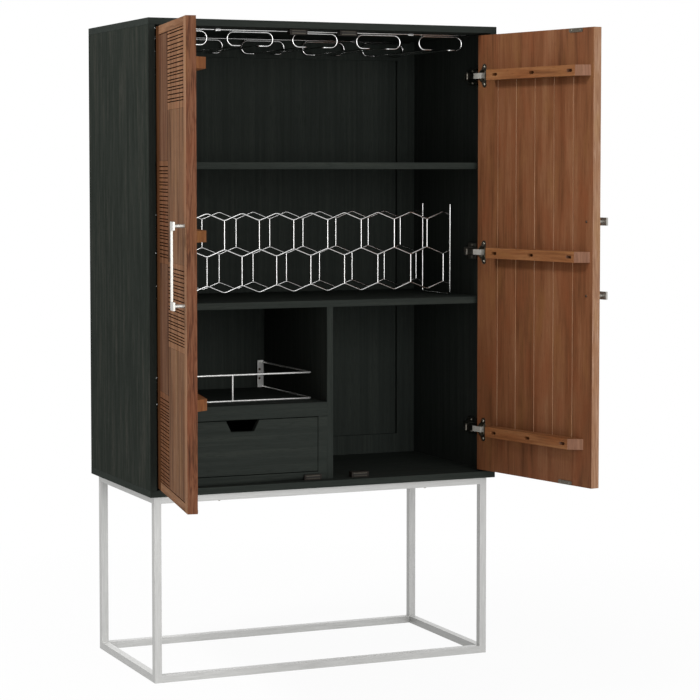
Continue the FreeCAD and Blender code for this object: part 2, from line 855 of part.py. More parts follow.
def make_handle(name, side):
    place = val("door_width") - val("handle_margin")
    middle = val("handle_middle")
    half = val("handle_spacing") / 2
    outer = -val("handle_post_length") - val("handle_board")
    start = place - val("handle_tab_width") / 2
    spans = [(val("handle_width"), middle - half, middle + half)]
    for end in (middle - half, middle + half):
        spans.append((val("handle_tab_width"), end - val("handle_tab_height") / 2,
                      end + val("handle_tab_height") / 2))
    blocks = []
    for width, low, high in spans:
        corner = door_point(side, start + width / 2, outer, low) - TO_RIGHT * (width / 2)
        blocks.append(Part.makeBox(width, val("handle_board"), high - low, corner))
    bar = blocks[0].fuse(blocks[1:]).removeSplitter()
    door_solids(name + "_handle", side, [bar])
    posts = []
    screws = []
    for height in (middle - half, middle + half):
        foot = door_point(side, place, -val("handle_post_length"), height)
        posts.append(Part.makeCylinder(val("handle_post_diameter") / 2, val("handle_post_length"),
                                       foot, TO_BACK))
        outer_face = door_point(side, place, 0, height)
        shank = Part.makeCylinder(val("through_screw_diameter") / 2, val("door_board"), outer_face, TO_BACK)
        head = screw_head(outer_face + TO_BACK * val("door_board"), TO_BACK)
        screws.append(shank.fuse(head).removeSplitter())
    door_solids(name + "_handle_posts", side, posts)
    door_solids(name + "_handle_screws", side, screws)


def catch_offsets(side):
    """Distances from the middle of the case to the upper and lower catch."""
    return {"upper": val("upper_catch_offset"), "lower": val(WORDS[side] + "_lower_catch_offset")}


def make_strikes(name, side):
    plates = []
    for level, offset in catch_offsets(side).items():
        run = val("inner_half") - val("door_hinge_gap") - offset
        half = val("strike_height") / 2
        height = val("door_high") - half if level == "upper" else val("door_low") + half
        plates.append(round_ended(door_point(side, run, val("door_board"), height), val("strike_length"),
                                  val("strike_height"), val("strike_board")))
    door_solids(name + "_strike_plates", side, plates)


def make_doors():
    for word, side in SIDES.items():
        name = word + "_door"
        make_door_panel(name, side)
        make_door_boards(name, side)
        make_door_louvres(name, side)
        make_battens(name, side)
        make_door_screws(name, side)
        make_hinge_cups(name, side)
        make_handle(name, side)
        make_strikes(name, side)


# Hinge arms on the case, and the links that swing on them

def plan_point(side, inset, depth, height):
    """A point from its inset from a side panel's inner face and its depth behind the case front."""
    return Vector(side * (val("inner_half") - inset), val("case_front") + depth, height)


def make_hinge_arms():
    plates = []
    arms = []
    pins = []
    screws = []
    for side in SIDES.values():
        for height in batten_heights(side):
            plates.append(mount_plate(side, height))
            arms.append(hinge_arm(side, height))
            pins.append(hinge_pin(side, height))
            for shift in (-1, 1):
                place = plan_point(side, val("mount_plate_board"),
                                   val("mount_plate_depth") + val("mount_plate_length") / 2,
                                   height + shift * (val("mount_plate_height") + val("arm_height")) / 4)
                screws.append(screw_head(place, TO_RIGHT * -side))
    solids_node("hinge_mount_plates", plates)
    solids_node("hinge_arms", arms)
    solids_node("hinge_pins", pins)
    solids_node("hinge_mount_screws", screws)


def mount_plate(side, height):
    low = height - val("mount_plate_height") / 2
    near = val("mount_plate_depth")
    far = near + val("mount_plate_length")
    board = val("mount_plate_board")
    outline = [plan_point(side, inset, depth, low) for inset, depth in
               ((0, near), (board, near), (board, far), (0, far))]
    return prism(outline, UP * val("mount_plate_height"))


def hinge_arm(side, height):
    """The fixed arm: a bar on the mounting plate with a fork that holds the pin."""
    near = val("mount_plate_depth")
    far = near + val("mount_plate_length")
    inner = val("mount_plate_board")
    outer = inner + val("arm_board")
    knuckle = (val("knuckle_inset"), val("knuckle_depth"))
    radius = val("knuckle_radius")
    low = height - val("arm_height") / 2
    bar = prism([plan_point(side, inset, depth, low) for inset, depth in
                 ((inner, near), (outer, near), (outer, far), (inner, far))], UP * val("arm_height"))
    lug_height = (val("arm_height") - val("link_height")) / 2 - val("link_gap")
    lug_outline = [
        (inner, near),
        (knuckle[0] - radius, knuckle[1] - radius),
        (knuckle[0] + radius, knuckle[1] - radius),
        (knuckle[0] + radius, knuckle[1] + radius),
        (outer, near + val("arm_board")),
        (inner, near + val("arm_board")),
    ]
    pieces = [bar]
    for lug_low in (low, low + val("arm_height") - lug_height):
        outline = [plan_point(side, inset, depth, lug_low) for inset, depth in lug_outline]
        pieces.append(prism(outline, UP * lug_height))
    arm = pieces[0].fuse(pieces[1:]).removeSplitter()
    return arm.cut(hinge_pin(side, height))


def hinge_pin(side, height):
    foot = plan_point(side, val("knuckle_inset"), val("knuckle_depth"), height - val("arm_height") / 2)
    return Part.makeCylinder(val("hinge_pin_diameter") / 2, val("arm_height"), foot)


def rest_point(side, run, depth, height):
    """A point of a door as it stands at rest, in the case's frame."""
    angle = side * val(WORDS[side] + "_open_angle")
    turned = FreeCAD.Rotation(UP, angle).multVec(door_point(side, run, depth, height))
    return turned + plan_point(side, val("pivot_inset"), val("pivot_depth"), 0)


def hinge_link(side, height):
    """A cranked strap from the pin to the mouth of the cup, with its barrel round the pin."""
    low = height - val("link_height") / 2
    pivot = plan_point(side, val("knuckle_inset"), val("knuckle_depth"), low)
    mouth = val("door_board") + val("flange_board")
    knee = rest_point(side, val("link_reach"), mouth + val("link_knee_rise"), low)
    tip = rest_point(side, val("link_reach"), mouth - val("link_dip"), low)
    barrel = Part.makeCylinder(val("knuckle_radius"), val("link_height"), pivot)
    strap = flat_strap([pivot, knee, tip], val("link_board"), val("link_height"))
    bore_radius = val("hinge_pin_diameter") / 2 + val("hinge_pin_clearance")
    bore = Part.makeCylinder(bore_radius, val("link_height"), pivot)
    return barrel.fuse(strap).cut(bore).removeSplitter()


def flat_strap(points, board, height):
    """A strap of even thickness along a bent line seen from above, mitred at its bend."""
    start, knee, tip = points
    first = (knee - start).normalize()
    last = (tip - knee).normalize()
    mitre = (first + last).normalize()
    half = board / 2
    knee_half = half / mitre.dot(first)
    left = [start + first.cross(UP) * half, knee + mitre.cross(UP) * knee_half, tip + last.cross(UP) * half]
    right = [start - first.cross(UP) * half, knee - mitre.cross(UP) * knee_half, tip - last.cross(UP) * half]
    return prism(left + right[::-1], UP * height)


def make_hinge_links():
    for word, side in SIDES.items():
        links = [hinge_link(side, height) for height in batten_heights(side)]
        solids_node(word + "_hinge_links", links)


# Magnetic catches: a housing under the top or on the floor, with a magnet that floats in it

def catch_depth(side, level):
    """The lower left catch sits in front of the drawer's face frame, so it is shallow."""
    if side == LEFT and level == "lower":
        return val("face_setback") - val("door_board") - val("catch_gap")
    return val("catch_depth")


def make_catches():
    housings = []
    front = val("case_front") + val("door_board") + val("catch_gap")
    gap = val("magnet_gap")
    wall = val("catch_wall")
    height = val("catch_height")
    half_magnet = val("magnet_length") / 2
    for word, side in SIDES.items():
        for level, offset in catch_offsets(side).items():
            middle = side * offset
            low = val("top_under") - height if level == "upper" else val("floor_top")
            depth = catch_depth(side, level)
            shell = Part.makeBox(val("catch_length"), depth, height,
                                 Vector(middle - val("catch_length") / 2, front, low))
            pocket = Part.makeBox(2 * (half_magnet + gap), depth - wall, height - 2 * wall,
                                  Vector(middle - half_magnet - gap, front, low + wall))
            housings.append(shell.cut(pocket))
            proud = val("magnet_proud")
            magnet = Part.makeBox(2 * half_magnet, depth - wall - gap + proud, height - 2 * (wall + gap),
                                  Vector(middle - half_magnet, front - proud, low + wall + gap))
            solids_node(f"{word}_{level}_magnet", [magnet])
    solids_node("catch_housings", housings)


# Stemware rack under the top

def make_stemware_rack():
    radius = val("wire_diameter") / 2
    cross_height = val("top_under") - radius
    lane_top = cross_height - val("wire_diameter")
    lane_low = lane_top - val("lane_height")
    front = val("case_front") + val("lane_front")
    back = val("back_face") - val("lane_back_gap")
    middles = [(i - 2) * val("lane_pitch") for i in range(5)]
    wires = []
    for middle in middles:
        wires.extend(lane_wire(middle, front, back, lane_low, lane_top))
    solids_node("stemware_lanes", wires)
    reach = middles[-1] + val("lane_width") / 2 + val("cross_wire_overhang")
    ends = Vector(-reach, 0, cross_height), Vector(reach, 0, cross_height)
    cross_wires = [wire_span(ends[0] + TO_BACK * y, ends[1] + TO_BACK * y) for y in (front, back)]
    solids_node("stemware_cross_wires", cross_wires)
    clip_x = middles[-1] - val("lane_pitch") / 2
    clips = [wire_clip(Vector(x, y, cross_height)) for x in (-clip_x, clip_x) for y in (front, back)]
    solids_node("stemware_clips", clips)


def wire_clip(place):
    """A saddle that holds a cross wire up against the top, with a round-bottomed groove for the wire."""
    length = val("clip_length")
    width = val("clip_width")
    radius = val("wire_diameter") / 2
    corner = Vector(place.x - length / 2, place.y - width / 2, val("top_under") - val("clip_height"))
    block = Part.makeBox(length, width, val("clip_height"), corner)
    groove = Part.makeCylinder(radius, length, Vector(corner.x, place.y, place.z), TO_RIGHT)
    mouth = Part.makeBox(length, 2 * radius, 2 * radius, Vector(corner.x, place.y - radius, place.z))
    return block.cut([groove, mouth])


def lane_wire(middle, front, back, low, high):
    """One endless wire: an open-bottomed hoop at each end and the two rails that join the hoops."""
    half = (val("lane_width") - val("wire_diameter")) / 2
    lip = val("lane_lip") / 2
    hoop = [(-lip, low), (-half, low), (-half, high), (half, high), (half, low), (lip, low)]
    round_end = val("lane_height") / 2
    hoop_bends = [val("lane_lip_bend")] + [round_end] * 4 + [val("lane_lip_bend")]
    corners = [Vector(middle + x, front, z) for x, z in hoop]
    corners += [Vector(middle + x, back, z) for x, z in reversed(hoop)]
    return bent_wire(corners, hoop_bends + hoop_bends, closed=True)


# Bottle rack on the middle shelf

def make_bottle_rack():
    front = val("case_front") + val("bottle_rack_front")
    back = front + val("bottle_rack_depth")
    solids_node("bottle_rack_front_lattice", bottle_lattice(front))
    solids_node("bottle_rack_rear_lattice", bottle_lattice(back))
    low = val("middle_shelf_top") + val("wire_diameter") / 2
    high = val("middle_shelf_top") + val("bottle_rack_upright")
    frames = []
    for side in SIDES.values():
        x = val("bottle_rack_shift") + side * val("bottle_rack_half_width")
        frames.extend(mitred_wire([Vector(x, front, high), Vector(x, front, low),
                                   Vector(x, back, low), Vector(x, back, high)], None))
    solids_node("bottle_rack_end_frames", frames)


def bottle_lattice(y):
    """Honeycomb of wire: three zigzags with upright wires between them."""
    half = val("cell_width") / 2
    radius = val("wire_diameter") / 2
    low = val("middle_shelf_top") + val("cell_lift")
    row = val("cell_side") + val("cell_rise")
    reach = val("bottle_rack_half_width") - radius
    shift = val("bottle_rack_shift")
    columns = int(reach // half)
    slope = val("cell_rise") / half
    tip = radius * math.hypot(1, slope)
    solids = []
    for level in range(3):
        corners = []
        for i in range(-columns, columns + 1):
            raised = (i + level) % 2 == 0
            rise = val("cell_rise") if raised else 0
            corners.append(Vector(shift + i * half, y, low + level * row + rise))
        overhang = reach - columns * half
        for i, sign in ((0, -1), (-1, 1)):
            inner = corners[i]
            rise = slope * overhang
            falls = inner.z > low + level * row + val("cell_rise") / 2
            stub = Vector(shift + sign * reach, y, inner.z + (-rise if falls else rise))
            if overhang > radius:
                corners = [stub] + corners if sign < 0 else corners + [stub]
        solids.extend(mitred_wire(corners, TO_RIGHT))
    for level in range(2):
        for i in range(-columns, columns + 1):
            if (i + level) % 2 == 0:
                foot = low + level * row + val("cell_rise") + tip
                head = foot + val("cell_side") - 2 * tip
                x = shift + i * half
                solids.append(wire_span(Vector(x, y, foot), Vector(x, y, head)))
    return solids


# Tray rail round the cubby shelf

def make_tray_rail():
    radius = val("wire_diameter") / 2
    left = -val("inner_half") + val("tray_side_gap") + radius
    right = val("divider_offset") - val("tray_side_gap") - radius
    front = val("case_front") + val("tray_front")
    back = val("back_face") - val("tray_plate_board")
    low = val("cubby_top") + radius
    high = low + val("tray_rail_rise")
    bends = [0, val("tray_bend"), val("tray_bend"), 0]
    wires = []
    for height in (low, high):
        path = [Vector(left, back, height), Vector(left, front, height),
                Vector(right, front, height), Vector(right, back, height)]
        wires.extend(bent_wire(path, bends))
    post = (left + right) / 2 + val("tray_post_shift")
    wires.append(wire_span(Vector(post, front, low + radius), Vector(post, front, high - radius)))
    solids_node("tray_rail", wires)
    plates = []
    screws = []
    for x, inward in ((left, 1), (right, -1)):
        near = x - inward * radius
        plate_left = near if inward > 0 else near - val("tray_plate_width")
        plates.append(Part.makeBox(val("tray_plate_width"), val("tray_plate_board"),
                                   val("tray_plate_height"), Vector(plate_left, back, val("cubby_top"))))
        for share in (1 / 3, 2 / 3):
            place = Vector(x + inward * val("tray_plate_width") * 0.55, back,
                           val("cubby_top") + val("tray_plate_height") * share)
            screws.append(screw_head(place, TO_BACK * -1))
    solids_node("tray_rail_plates", plates)
    solids_node("tray_rail_screws", screws)


def check_and_write():
    doc.recompute()
    for item in doc.Objects:
        if "Invalid" in item.State or "Error" in item.State:
            raise RuntimeError(f"{item.Name} failed: {item.State}")
    for item in nodes:
        if item.Shape.isNull() or not item.Shape.isValid() or not item.Shape.Solids:
            raise RuntimeError(f"{item.Label} has no valid solid")
    os.makedirs("parts", exist_ok=True)
    for item in nodes:
        item.Shape.exportStep(f"parts/{item.Label}.step")
    print(len(nodes), "sub-parts,", sum(len(item.Shape.Solids) for item in nodes), "solids")


make_case()
make_back()
make_shelves()
make_face_frame()
make_base()
make_drawer()
make_runners()
make_doors()
make_hinge_arms()
make_hinge_links()
make_catches()
make_stemware_rack()
make_bottle_rack()
make_tray_rail()
check_and_write()
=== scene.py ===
import json
import math

import bpy
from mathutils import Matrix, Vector


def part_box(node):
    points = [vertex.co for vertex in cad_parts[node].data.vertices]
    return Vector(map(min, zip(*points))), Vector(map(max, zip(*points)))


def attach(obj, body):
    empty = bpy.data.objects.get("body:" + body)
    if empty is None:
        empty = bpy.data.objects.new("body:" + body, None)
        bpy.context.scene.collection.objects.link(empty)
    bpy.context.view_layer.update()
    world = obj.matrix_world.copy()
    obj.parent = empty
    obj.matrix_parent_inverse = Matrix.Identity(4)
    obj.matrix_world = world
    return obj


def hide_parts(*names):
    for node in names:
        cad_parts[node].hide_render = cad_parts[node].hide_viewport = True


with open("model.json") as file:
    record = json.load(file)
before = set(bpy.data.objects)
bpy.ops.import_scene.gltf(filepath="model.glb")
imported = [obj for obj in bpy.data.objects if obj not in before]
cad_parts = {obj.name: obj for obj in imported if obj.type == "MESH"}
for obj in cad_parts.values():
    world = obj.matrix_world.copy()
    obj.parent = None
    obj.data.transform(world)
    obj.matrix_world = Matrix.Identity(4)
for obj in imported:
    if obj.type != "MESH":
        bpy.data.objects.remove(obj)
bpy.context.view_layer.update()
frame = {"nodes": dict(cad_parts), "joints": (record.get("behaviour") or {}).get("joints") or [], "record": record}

# A bar armoire with its doors open. Lengths are metres, and MM turns millimetres into them.
MM = 0.001
QUARTER = math.radians(90)
LEFT = -1
RIGHT = 1
SIDES = {"left": LEFT, "right": RIGHT}
WORDS = {LEFT: "left", RIGHT: "right"}
JOINTS = {joint["name"]: joint for joint in frame["joints"]}
SLOTS = {row["node"]: row["material_slot"] for row in frame["record"]["subparts"]}
BODIES = {node: body for body, nodes in frame["record"]["behaviour"]["bodies"].items() for node in nodes}
TO_RIGHT = Vector((1, 0, 0))
TO_FRONT = Vector((0, -1, 0))
DOWN = Vector((0, 0, -1))

# The camera stands where the photograph was taken, to the left of the front
CAMERA_PLACE = (-2.3584, -5.5965, 1.3431)
CAMERA_TURN = math.radians(-23.51)
CAMERA_TILT = math.radians(-3.33)
CAMERA_LENS = 116.92
CAMERA_SHIFT = -0.07
SENSOR_WIDTH = 36

# How far the edges of each kind of stock are rounded
BOARD_ROUND = 0.8 * MM
DOOR_ROUND = 1.0 * MM
SLAT_ROUND = 0.35 * MM
TUBE_ROUND = 1.0 * MM
FITTING_ROUND = 0.4 * MM
HANDLE_ROUND = 0.8 * MM
ROUND_STEPS = 2

# Angles, distances and shares of a normal that tell edges, points and faces apart
SHARP_ANGLE = math.radians(32)
FLAT_ANGLE = math.radians(0.5)
SMOOTH_ANGLE = math.radians(40)
WIRE_SMOOTH_ANGLE = math.radians(50)
SCREW_SMOOTH_ANGLE = math.radians(35)
SAME_POINT = 0.01 * MM
NEAR_POINT = 0.05 * MM
FACING = 0.5
BEVEL_FACING = 0.3

# Doors, measured along the door from its hinge edge and in from its outer face
DOOR_THICKNESS = 25 * MM
DOOR_WIDTH = 477.5 * MM
HINGE_REACH = 9 * MM
PIVOT_DEPTH = 7 * MM
KERF_FIRST = 86 * MM
KERF_PITCH = 78 * MM
KERF_DEPTH = 2 * MM
KERF_FLOOR = 1.1 * KERF_DEPTH
FIELD_DEPTH = 9 * MM
HINGE_BORDER = 60 * MM
FREE_BORDER = 35 * MM
COLUMN_SPLIT = 200 * MM
STAVE_WIDTH = 46 * MM
BATTEN_TIP = 380 * MM

# Wire goods, and the small face that a drawn line grows from
SEED_SIZE = 1 * MM
WIRE_FACETS = 3
BEND_STEPS = 8
LANE_COUNT = 5
LANE_WIDTH = 134 * MM
LANE_LIP = 44 * MM
LANE_LIP_BEND = 8 * MM
LANE_LIP_CORNERS = (0, 5, 6, 11)
LANE_HOOP_SHARE = 0.49
ZIGZAGS = 3
CELL_WIDTH = 100 * MM
CELL_SIDE = 77 * MM
CELL_RISE = 20 * MM
CELL_BEND = 6 * MM
RACK_CORNER = 5 * MM
TRAY_BEND = 6 * MM
TRAY_POST_SHIFT = 11 * MM

# Strength of the gloss: matt lacquer on black oak and on the doors' outer faces, and dull plastic
OAK_SHEEN = 0.004
OUTER_SHEEN = 0.002
PLASTIC_SHEEN = 0.2

# Studio: a wide floor, nearly white by the base, whose shadow fades out with distance, and a white room
FLOOR_SIZE = 60
FLOOR_WHITE = 0.94
SHADOW_NEAR = 0.8
SHADOW_FAR = 2.2
ROOM_LIGHT = 0.55
ROOM_WHITE = 1
# Softboxes: name, place, the point that each one faces, width and height, and watts
SOFTBOXES = (
    ("upper_left", (-2.2, -0.2, 3.4), (0.2, -0.2, 1.1), (0.6, 0.6), 54),
    ("left", (-4.6, -1.4, 1.9), (0.2, -0.2, 1.0), (3.0, 3.0), 10),
    ("front", (0.0, -5.4, 1.8), (0, 0, 0.9), (3.0, 2.4), 118),
)

# Screws, the outline of their crown in shares of its radius and height, and a catch magnet's poles as a
# share of its height
SCREW_RADIUS = 3.5 * MM
SCREW_HEIGHT = 2 * MM
SCREW_FACETS = 24
SCREW_CROWN = ((1, 0), (0.97, 0.35), (0.8, 0.72), (0.5, 0.94), (0, 1))
SHANK_RADIUS = 2 * MM
RECESS_LENGTH = 4.2 * MM
RECESS_WIDTH = 1.0 * MM
RECESS_DEPTH = 1.2 * MM
STRIKE_SCREW_SPREAD = 17 * MM
STRIKE_SCREW_SCALE = 0.7
STRIKE_SCREW_PROUD = 0.3 * MM
POLE_SHARE = 0.24

# Patterns in millimetres: pores, fibres and clouds in wood, and the lines of brushed metal
OAK_PORE = (1.6, 1.6, 34)
WALNUT_PORE = (1.2, 1.2, 24)
WALNUT_FIBRE = (4.5, 4.5, 110)
WALNUT_CLOUD = (50, 50, 140)
BRUSHED_UP = (0.9, 0.9, 70)
BRUSHED_ACROSS = (70, 0.9, 0.9)
BRUSHED_DEEP = (0.9, 70, 0.9)
# Width and length of the bands in walnut, in millimetres
PLAIN_FIGURE = (34, 480)
PLANK_FIGURE = (34, 420)
FINE_FIGURE = (18, 250)
BROAD_FIGURE = (22, 300)
STILE_FIGURE = (14, 300)
EDGE_FIGURE = (10, 110)
BATTEN_FIGURE = (26, 360)
END_FIGURE = (6, 60)
SLOT_FIGURE = (12, 120)
# How much planks and staves differ in tone
PLANK_CHANGE = 0.05
STAVE_CHANGE = 0.14
# The values between which a noise pattern mostly lies
NOISE_LOW = 0.3
NOISE_MIDDLE = 0.5
NOISE_HIGH = 0.7


# Materials

def colour(code):
    """A linear colour from an sRGB hex value."""
    parts = [int(code[i:i + 2], 16) / 255 for i in (1, 3, 5)]
    linear = [c / 12.92 if c <= 0.04045 else ((c + 0.055) / 1.055) ** 2.4 for c in parts]
    return (*linear, 1.0)


def add(tree, kind, inputs=None, stops=(), **settings):
    """Add a node. An input is a value or the socket that it is linked from."""
    node = tree.nodes.new(kind)
    for name, value in settings.items():
        setattr(node, name, value)
    for name, value in (inputs or {}).items():
        if isinstance(value, bpy.types.NodeSocket):
            tree.links.new(value, node.inputs[name])
        else:
            node.inputs[name].default_value = value
    for i, (place, code) in enumerate(stops):
        points = node.color_ramp.elements
        point = points[i] if i < 2 else points.new(place)
        point.position = place
        point.color = colour(code)
    return node


def new_material(name):
    material = bpy.data.materials.new(name)
    material.use_nodes = True
    return material, material.node_tree, material.node_tree.nodes["Principled BSDF"]


def pattern(tree, size, turn=(0, 0, 0), origin=(0, 0, 0)):
    """Places on the piece, turned to lie along it and counted in the pattern's size in millimetres."""
    place = add(tree, "ShaderNodeTexCoord").outputs["Object"]
    mapped = add(tree, "ShaderNodeMapping", {
        "Vector": place, "Location": origin, "Rotation": turn, "Scale": [edge * MM for edge in size],
    }, vector_type="TEXTURE")
    return mapped.outputs["Vector"]


def black_oak(name, turn, tones, figure):
    """Oak veneer stained black under matt lacquer.

    It is near black with a cold green cast. The figure shows only as faint paler streaks along the
    board, and open pores draw short darker dashes and break up the sheen."""
    dark, plain, pale = tones
    width, length = figure
    material, tree, shader = new_material(name)
    streaks = add(tree, "ShaderNodeTexNoise", {
        "Vector": pattern(tree, (width, width, length), turn), "Scale": 1, "Detail": 4, "Roughness": 0.55,
    })
    stain = add(tree, "ShaderNodeValToRGB", {"Fac": streaks.outputs["Fac"]},
                stops=((NOISE_LOW, dark), (NOISE_MIDDLE, plain), (NOISE_HIGH, pale)))
    pores = add(tree, "ShaderNodeTexNoise", {
        "Vector": pattern(tree, OAK_PORE, turn), "Scale": 1, "Detail": 3,
    })
    open_grain = add(tree, "ShaderNodeMapRange", {
        "Value": pores.outputs["Fac"], "From Min": 0.34, "From Max": 0.48,
    })
    inked = add(tree, "ShaderNodeMix", {
        "Factor": open_grain.outputs[0], 6: colour(dark), 7: stain.outputs["Color"],
    }, data_type="RGBA")
    gloss = add(tree, "ShaderNodeMapRange", {"Value": open_grain.outputs[0], "To Min": 0.75, "To Max": 0.6})
    dents = add(tree, "ShaderNodeBump", {
        "Height": open_grain.outputs[0], "Strength": 0.3, "Distance": 0.12 * MM,
    })
    tree.links.new(inked.outputs[2], shader.inputs["Base Color"])
    tree.links.new(gloss.outputs[0], shader.inputs["Roughness"])
    tree.links.new(dents.outputs["Normal"], shader.inputs["Normal"])
    shader.inputs["Specular IOR Level"].default_value = OAK_SHEEN
    return material


def walnut(name, turn, origin, tones, figure=PLAIN_FIGURE, wander=0.5, spread=0.3, sheen=0.08,
           staves=None):
    """Walnut with a thin satin lacquer.

    Broad brown bands drift along the board, with fibres that are drawn coarser than life so that they
    show, reddish and golden clouds, and short dark pores. Where the board is glued up from staves, given
    by the first joint, the pitch and the change of tone, each stave has a slightly different tone."""
    dark, plain, pale, red, gold = tones
    width, length = figure
    material, tree, shader = new_material(name)
    bands = add(tree, "ShaderNodeTexNoise", {
        "Vector": pattern(tree, (width, width, length), turn, origin), "Scale": 1, "Detail": 3,
        "Roughness": 0.5, "Distortion": wander,
    })
    fibres = add(tree, "ShaderNodeTexNoise", {
        "Vector": pattern(tree, WALNUT_FIBRE, turn, origin), "Scale": 1, "Detail": 3, "Roughness": 0.6,
    })
    grain = add(tree, "ShaderNodeMapRange", {"Value": fibres.outputs["Fac"], "To Min": -0.3, "To Max": 0.3})
    tone = add(tree, "ShaderNodeMath", {0: bands.outputs["Fac"], 1: grain.outputs[0]}, operation="ADD")
    if staves:
        first, pitch, change = staves
        across = (pitch / MM, pitch / MM, pitch / MM)
        run = add(tree, "ShaderNodeSeparateXYZ", {"Vector": pattern(tree, across, turn, origin)})
        count = add(tree, "ShaderNodeMath", {
            0: run.outputs["X"], 1: (HINGE_REACH - first) / pitch,
        }, operation="ADD")
        stave = add(tree, "ShaderNodeMath", {0: count.outputs[0]}, operation="FLOOR")
        chance = add(tree, "ShaderNodeTexWhiteNoise", {"W": stave.outputs[0]}, noise_dimensions="1D")
        shift = add(tree, "ShaderNodeMapRange", {
            "Value": chance.outputs["Value"], "To Min": -change, "To Max": change,
        })
        tone = add(tree, "ShaderNodeMath", {0: tone.outputs[0], 1: shift.outputs[0]}, operation="ADD")
    stain = add(tree, "ShaderNodeValToRGB", {"Fac": tone.outputs[0]},
                stops=((NOISE_MIDDLE - spread, dark), (NOISE_MIDDLE, plain), (NOISE_MIDDLE + spread, pale)))
    clouds = add(tree, "ShaderNodeTexNoise", {
        "Vector": pattern(tree, WALNUT_CLOUD, turn, origin), "Scale": 1, "Detail": 3,
    })
    redness = add(tree, "ShaderNodeMapRange", {
        "Value": clouds.outputs["Fac"], "From Min": 0.5, "From Max": 0.72, "To Max": 0.5,
    })
    reddened = add(tree, "ShaderNodeMix", {
        "Factor": redness.outputs[0], 6: stain.outputs["Color"], 7: colour(red),
    }, data_type="RGBA")
    goldness = add(tree, "ShaderNodeMapRange", {
        "Value": clouds.outputs["Fac"], "From Min": 0.46, "From Max": 0.28, "To Max": 0.5,
    })
    gilded = add(tree, "ShaderNodeMix", {
        "Factor": goldness.outputs[0], 6: reddened.outputs[2], 7: colour(gold),
    }, data_type="RGBA")
    pores = add(tree, "ShaderNodeTexNoise", {
        "Vector": pattern(tree, WALNUT_PORE, turn, origin), "Scale": 1, "Detail": 2,
    })
    open_grain = add(tree, "ShaderNodeMapRange", {
        "Value": pores.outputs["Fac"], "From Min": 0.28, "From Max": 0.42, "To Min": 0.35,
    })
    inked = add(tree, "ShaderNodeMix", {
        "Factor": open_grain.outputs[0], 6: colour(dark), 7: gilded.outputs[2],
    }, data_type="RGBA")
    gloss = add(tree, "ShaderNodeMapRange", {"Value": open_grain.outputs[0], "To Min": 0.66, "To Max": 0.5})
    dents = add(tree, "ShaderNodeBump", {
        "Height": open_grain.outputs[0], "Strength": 0.25, "Distance": 0.1 * MM,
    })
    tree.links.new(inked.outputs[2], shader.inputs["Base Color"])
    tree.links.new(gloss.outputs[0], shader.inputs["Roughness"])
    tree.links.new(dents.outputs["Normal"], shader.inputs["Normal"])
    shader.inputs["Specular IOR Level"].default_value = sheen
    return material


def metal(name, tones, roughness, grain, metallic=1):
    """Plated or brushed metal: fine lines or clouds make its tone and its gloss uneven.

    A brushed or tumbled face scatters light, so it counts as less metallic than a bright one."""
    material, tree, shader = new_material(name)
    lines = add(tree, "ShaderNodeTexNoise", {"Vector": pattern(tree, grain), "Scale": 1, "Detail": 3})
    tint = add(tree, "ShaderNodeValToRGB", {"Fac": lines.outputs["Fac"]},
               stops=((NOISE_LOW, tones[0]), (NOISE_HIGH, tones[1])))
    gloss = add(tree, "ShaderNodeMapRange", {
        "Value": lines.outputs["Fac"], "From Min": NOISE_LOW, "From Max": NOISE_HIGH,
        "To Min": roughness[0], "To Max": roughness[1],
    })
    tree.links.new(tint.outputs["Color"], shader.inputs["Base Color"])
    tree.links.new(gloss.outputs[0], shader.inputs["Roughness"])
    shader.inputs["Metallic"].default_value = metallic
    return material


def moulded(name, tones, grit):
    """Moulded plastic or pressed ferrite: a fine texture breaks up a dull sheen."""
    material, tree, shader = new_material(name)
    speckle = add(tree, "ShaderNodeTexNoise", {
        "Vector": pattern(tree, (grit, grit, grit)), "Scale": 1, "Detail": 2,
    })
    tint = add(tree, "ShaderNodeValToRGB", {"Fac": speckle.outputs["Fac"]},
               stops=((NOISE_LOW, tones[0]), (NOISE_HIGH, tones[1])))
    dents = add(tree, "ShaderNodeBump", {
        "Height": speckle.outputs["Fac"], "Strength": 0.2, "Distance": 0.05 * MM,
    })
    tree.links.new(tint.outputs["Color"], shader.inputs["Base Color"])
    tree.links.new(dents.outputs["Normal"], shader.inputs["Normal"])
    shader.inputs["Roughness"].default_value = 0.5
    shader.inputs["Specular IOR Level"].default_value = PLASTIC_SHEEN
    return material


OAK_TONES = ("#2a2e2b", "#2f3330", "#343834")
OAK_FIGURE = (9, 380)
OAK_UPRIGHT = black_oak("black_stained_oak_upright", (0, 0, 0), OAK_TONES, OAK_FIGURE)
OAK_ACROSS = black_oak("black_stained_oak_across", (0, QUARTER, 0), OAK_TONES, OAK_FIGURE)
OAK_DEEP = black_oak("black_stained_oak_front_to_back", (-QUARTER, 0, 0), OAK_TONES, OAK_FIGURE)
OAK_SIDE = black_oak("black_stained_oak_side", (0, 0, 0), ("#222622", "#292d29", "#363732"), (15, 240))
